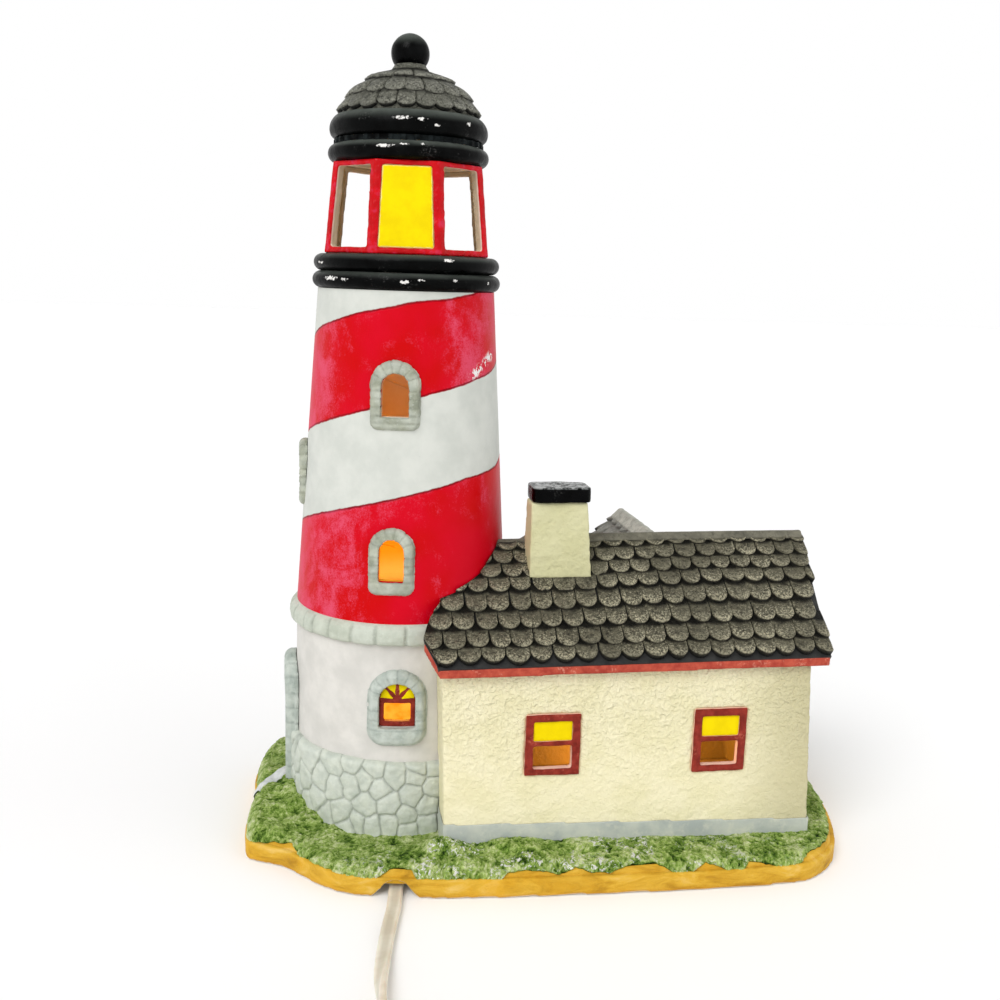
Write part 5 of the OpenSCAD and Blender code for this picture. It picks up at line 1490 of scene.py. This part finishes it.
soften("roof_trim", "fascia_boards", 0.5, 3, M["fascia"], disp=lambda c, n: 0.13 * nz(c, 5.0, 1.0))
soften("wing_trim", "wing_boards", 0.55, 3, M["fascia"], disp=lambda c, n: 0.13 * nz(c, 5.0, 1.0))
ridge_obj = soften("ridge_cap", "ridge_strip", 0.42, 3, M["roof_flat"], disp=lambda c, n: 0.16 * nz(c, 5.0, 1.0))
soften("wing_ridge_cap", "wing_ridge_strip", 0.42, 4, M["wing_flat"], disp=lambda c, n: 0.2 * nz(c, 4.0, 1.0))

RIDGE_Y, EAVE_DY, EAVE_Z, RIDGE_Z = -17.0, 43.5, 82.3, 117.6
SLOPE = (RIDGE_Z - EAVE_Z) / EAVE_DY
PITCH = math.atan(SLOPE)


def tilt(x):
    return (x - 80.0) * math.sin(math.radians(0.5))


def roof_point(side, u, v, h):
    """side -1 front, +1 back; u is x, v the distance down the slope from the ridge, h above the roof plane."""
    y = RIDGE_Y + side * (v * math.cos(PITCH) + h * math.sin(PITCH))
    z = RIDGE_Z - v * math.sin(PITCH) + h * math.cos(PITCH)
    return (u, y, z + tilt(u))


VERGE = [(-30.0, 3.6), (-40.1, 10.4), (-45.6, 5.6), (-51.3, 3.3), (-56, 4.6), (-60.6, 8.0)]


def roof_left(side, v):
    y = RIDGE_Y + side * v * math.cos(PITCH)
    z = RIDGE_Z - v * math.sin(PITCH)
    r = shaft_r(z) + (0.15 if z > 91 else 2.6 * max(0.0, min(1.0, (91 - z) / 3.0)))
    tower = math.sqrt(r * r - y * y) if abs(y) < r else -99.0
    if side < 0:
        vx = np.interp(-y, [38.0, 40.1, 45.6, 51.3, 60.5], [10.4, 10.4, 5.6, 3.4, 8.0])
        return max(tower, float(vx) if y < -37.5 else 0.0)
    return max(tower, 10.0 + max(0.0, (y - 5) * 0.47))


def roof_right(v):
    return 157.4 - (157.4 - 153.4) * min(v / 56.8, 1.0)


def shape_ridge(o):
    """The strip is narrower to the right of the chimney and sits lower beside the tower."""
    c = co_of(o)
    zr = np.array([RIDGE_Z + tilt(x) + 1.4 for x in c[:, 0]])
    k = smooth((c[:, 0] - 60) / 14.0)
    f = 1 - 0.4 * k
    c[:, 1] = RIDGE_Y + (c[:, 1] - RIDGE_Y) * f
    c[:, 2] = zr + (c[:, 2] - zr) * f
    c[:, 2] -= 1.9 * (1 - smooth((c[:, 0] - 43.0) / 4.0))
    set_co(o, c)


shape_ridge(ridge_obj)
V_RIGHT = [4.8, 11.0, 17.1, 23.6, 32.0, 41.2, 49.7, 55.8]
V_ROWS = [6.8, 13.1, 19.2, 25.6, 33.9, 41.8, 49.7, 55.8]


def make_roof():
    for side, nm in ((-1, "front"), (1, "back")):
        t = Tiles()
        rng = random.Random(31 + side)
        prev = 0.0
        for ri, vb in enumerate(V_ROWS):
            v0 = prev - 4.2 if ri else 0.5
            w = 8.3
            k = 0
            x = -8.0 + (w / 2 if ri % 2 else 0.0) + 1.3
            while x < 162:
                ww = w * rng.uniform(0.93, 1.07)
                xc = x + ww / 2
                x += ww
                lo = max(roof_left(side, vb - 2.0), -90)
                hi = roof_right(vb)
                fx = float(smooth((xc - 45) / 75.0))
                v1 = vb + (V_RIGHT[ri] - vb) * fx
                v0 = (V_ROWS[ri - 1] + (V_RIGHT[ri - 1] - V_ROWS[ri - 1]) * fx - 5.2) if ri else 0.5
                if xc + ww * 0.32 < min(lo, roof_left(side, max(v0, 0.5) + 2.0)) or xc - ww * 0.3 > hi:
                    continue

                def snap(u, v, side=side):
                    vv = min(max(v, 0.0), 56.7)
                    return min(max(u, roof_left(side, vv) + 0.1), roof_right(vv) - 0.05), v

                def fn(u, v, h, side=side):
                    if side < 0 and 43.5 < u < 70.5 and 30.5 < -RIDGE_Y + v * math.cos(PITCH) < 36.5:
                        h = min(h, 1.35)
                    return roof_point(side, u, v, h - 1.15)
                t.add(fn, xc, ww * 0.98, v0, v1, 5.0, 0.1, 2.4, rng, snap=snap, worn=True)
            prev = vb
        t.build("roof_shingles_" + nm, M["shingle"])
    # the slab under the shingles
    n, K = 90, 26
    vs, fs = [], []
    for side in (-1, 1):
        for top in (0, 1):
            base = len(vs)
            for j in range(K):
                v = 56.8 * j / (K - 1)
                lo, hi = roof_left(side, v), roof_right(v)
                for i in range(n):
                    u = lo + (hi - lo) * i / (n - 1)
                    h = (-1.2 if top else -2.6) + 0.08 * noise.noise(Vector((u / 3.0, v / 3.0, side)))
                    vs.append(roof_point(side, u, v, h))
            for j in range(K - 1):
                for i in range(n - 1):
                    a = base + j * n + i
                    q = (a, a + 1, a + n + 1, a + n)
                    fs.append(q if (top == 1) == (side == 1) else q[::-1])
            if top == 0:
                b0 = base
            else:
                # edges between underside and top
                def strip(ids0, ids1):
                    for p, q in zip(range(len(ids0) - 1), range(1, len(ids0))):
                        fs.append((ids0[p], ids0[q], ids1[q], ids1[p]))
                strip([b0 + (K - 1) * n + i for i in range(n)], [base + (K - 1) * n + i for i in range(n)])
                strip([b0 + j * n for j in range(K)], [base + j * n for j in range(K)])
                strip([b0 + j * n + n - 1 for j in range(K)], [base + j * n + n - 1 for j in range(K)])
    o = mesh_obj("roof_slab", vs, fs, mats=[M["roof_edge"]], smooth=False)
    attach(o, "lighthouse")
    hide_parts("cottage_roof")


make_roof()

WX, WZ, WHALF = 103.5, 112.4, 33.0


def wing_point(side, u, v, h):
    """u is y; v the distance down the slope from the wing's ridge."""
    x = WX + side * (v * math.cos(PITCH) + h * math.sin(PITCH))
    z = WZ - v * math.sin(PITCH) + h * math.cos(PITCH)
    return (x, u, z)


def wing_lo(v):
    hh = v * math.cos(PITCH)
    return RIDGE_Y + EAVE_DY - (WZ - hh * SLOPE - EAVE_Z) / SLOPE + 0.6


def make_wing():
    vmax = WHALF / math.cos(PITCH)
    for side, nm in ((-1, "left"), (1, "right")):
        t = Tiles()
        rng = random.Random(61 + side)
        prev = 0.0
        for ri, vb in enumerate([7.2, 14.4, 21.4, 28.6, 35.8, vmax - 1.4]):
            v0 = prev - 4.2 if ri else 0.5
            w = 8.2
            y = -14.0 + (w / 2 if ri % 2 else 0.0)
            while y < 58:
                ww = w * rng.uniform(0.93, 1.07)
                yc = y + ww / 2
                y += ww
                if yc + ww * 0.3 < wing_lo(vb) or yc - ww * 0.3 > 56:
                    continue

                def snap(u, v):
                    vv = min(max(v, 0.0), vmax)
                    return min(max(u, wing_lo(vv)), 55.9), v

                def fn(u, v, h, side=side):
                    return wing_point(side, u, v, h - 1.15)
                t.add(fn, yc, ww * 0.96, v0, vb, 4.2, 0.1, 2.2, rng, snap=snap)
            prev = vb
        t.build("wing_shingles_" + nm, M["wing_shingle"])
    n, K = 40, 16
    vs, fs = [], []
    for side in (-1, 1):
        bases = []
        for top in (0, 1):
            base = len(vs)
            bases.append(base)
            for j in range(K):
                v = vmax * j / (K - 1)
                lo, hi = wing_lo(v), 55.95
                for i in range(n):
                    u = lo + (hi - lo) * i / (n - 1)
                    vs.append(wing_point(side, u, v, (-1.2 if top else -2.2)))
            for j in range(K - 1):
                for i in range(n - 1):
                    a = base + j * n + i
                    q = (a, a + 1, a + n + 1, a + n)
                    fs.append(q if (top == 1) == (side == -1) else q[::-1])
        b0, b1 = bases
        for ids in ([(K - 1) * n + i for i in range(n)], [j * n for j in range(K)], [j * n + n - 1 for j in range(K)]):
            for p, q in zip(ids[:-1], ids[1:]):
                fs.append((b0 + p, b0 + q, b1 + q, b1 + p))
    o = mesh_obj("wing_slab", vs, fs, mats=[M["roof_edge"]], smooth=False)
    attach(o, "lighthouse")
    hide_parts("wing_roof")


make_wing()

# ------------------------------------------------------------------ light unit, switch and plug
use("clip_plate", M["steel"])
use("socket_body", M["socket"])
use("socket_cap", M["socket"])
use("socket_shell", M["brass"])
use("socket_contact", M["brass"])
use("bulb_cap", M["brass"])
use("bulb_tip", M["solder"])
use("bulb_filament", M["steel"])
use("bulb_glass", M["bulb"])
use("switch_contacts", M["brass"])
use("plug_blades", M["brass"])
use("switch_screw", M["steel"])
soften("switch_base", "switch_lower", 0.4, 2, M["switch"])
soften("switch_cover", "switch_upper", 0.4, 2, M["switch"])
use("switch_wheel", M["switch"])
soften("plug_body", "plug", 0.45, 4, M["switch"])

# ------------------------------------------------------------------ light
lamp = bpy.data.lights.new("bulb_light", "POINT")
lamp.energy = 0.06
lamp.color = (1.0, 0.52, 0.10)
lamp.shadow_soft_size = 0.006
lo = link(bpy.data.objects.new("bulb_light", lamp))
lo.location = P(0, 0, 78)
lamp2 = bpy.data.lights.new("room_light", "POINT")
lamp2.energy = 0.036
lamp2.color = (1.0, 0.36, 0.04)
lamp2.shadow_soft_size = 0.008
lo = link(bpy.data.objects.new("room_light", lamp2))
lo.location = P(98, 2, 26)


def area(name, loc, target, size, power, color=(1, 1, 1)):
    l = bpy.data.lights.new(name, "AREA")
    l.shape = "RECTANGLE"
    l.size, l.size_y = size
    l.energy = power
    l.color = color
    o = link(bpy.data.objects.new(name, l))
    o.location = loc
    d = Vector(target) - Vector(loc)
    o.rotation_euler = d.to_track_quat("-Z", "Y").to_euler()
    return o


def sun(name, direction, angle, power, color=(1, 1, 1)):
    l = bpy.data.lights.new(name, "SUN")
    l.energy = power
    l.angle = math.radians(angle)
    l.color = color
    o = link(bpy.data.objects.new(name, l))
    o.rotation_euler = Vector(direction).to_track_quat("-Z", "Y").to_euler()
    return o


sun("key_light", (0.55, 0.75, -0.9), 32, 1.7)
sun("fill_light", (-0.8, 0.45, -0.55), 60, 0.4)

world = bpy.data.worlds.new("studio")
scene.world = world
world.use_nodes = True
wt = world.node_tree
bg = wt.nodes["Background"]
tc = wt.nodes.new("ShaderNodeTexCoord")
sp = wt.nodes.new("ShaderNodeSeparateXYZ")
wt.links.new(tc.outputs["Generated"], sp.inputs[0])
wr = wt.nodes.new("ShaderNodeValToRGB")
wr.color_ramp.elements[0].position = 0.62
wr.color_ramp.elements[0].color = (1.0, 1.0, 1.0, 1.0)
wr.color_ramp.elements[1].position = 0.75
wr.color_ramp.elements[1].color = (0.58, 0.58, 0.58, 1.0)
half = wt.nodes.new("ShaderNodeMath")
half.operation = "MULTIPLY_ADD"
half.inputs[1].default_value = 0.5
half.inputs[2].default_value = 0.5
wt.links.new(sp.outputs[2], half.inputs[0])
wt.links.new(half.outputs[0], wr.inputs[0])
wt.links.new(wr.outputs[0], bg.inputs[0])
bg.inputs[1].default_value = 1.0

floor_mat = NT("floor_white")
fcol = floor_mat.mix(floor_mat.noise(300, 2), (0.95, 0.95, 0.95), (0.97, 0.97, 0.97))
floor_m = floor_mat.done(fcol, 0.7, spec=0.1)
floor = mesh_obj("floor", [(-6000, -6000, -0.4), (6000, -6000, -0.4), (6000, 6000, -0.4), (-6000, 6000, -0.4)], [(0, 1, 2, 3)], smooth=False, mats=[floor_m])

scene.view_settings.view_transform = "Standard"
scene.view_settings.look = "None"
scene.view_settings.exposure = 0.0
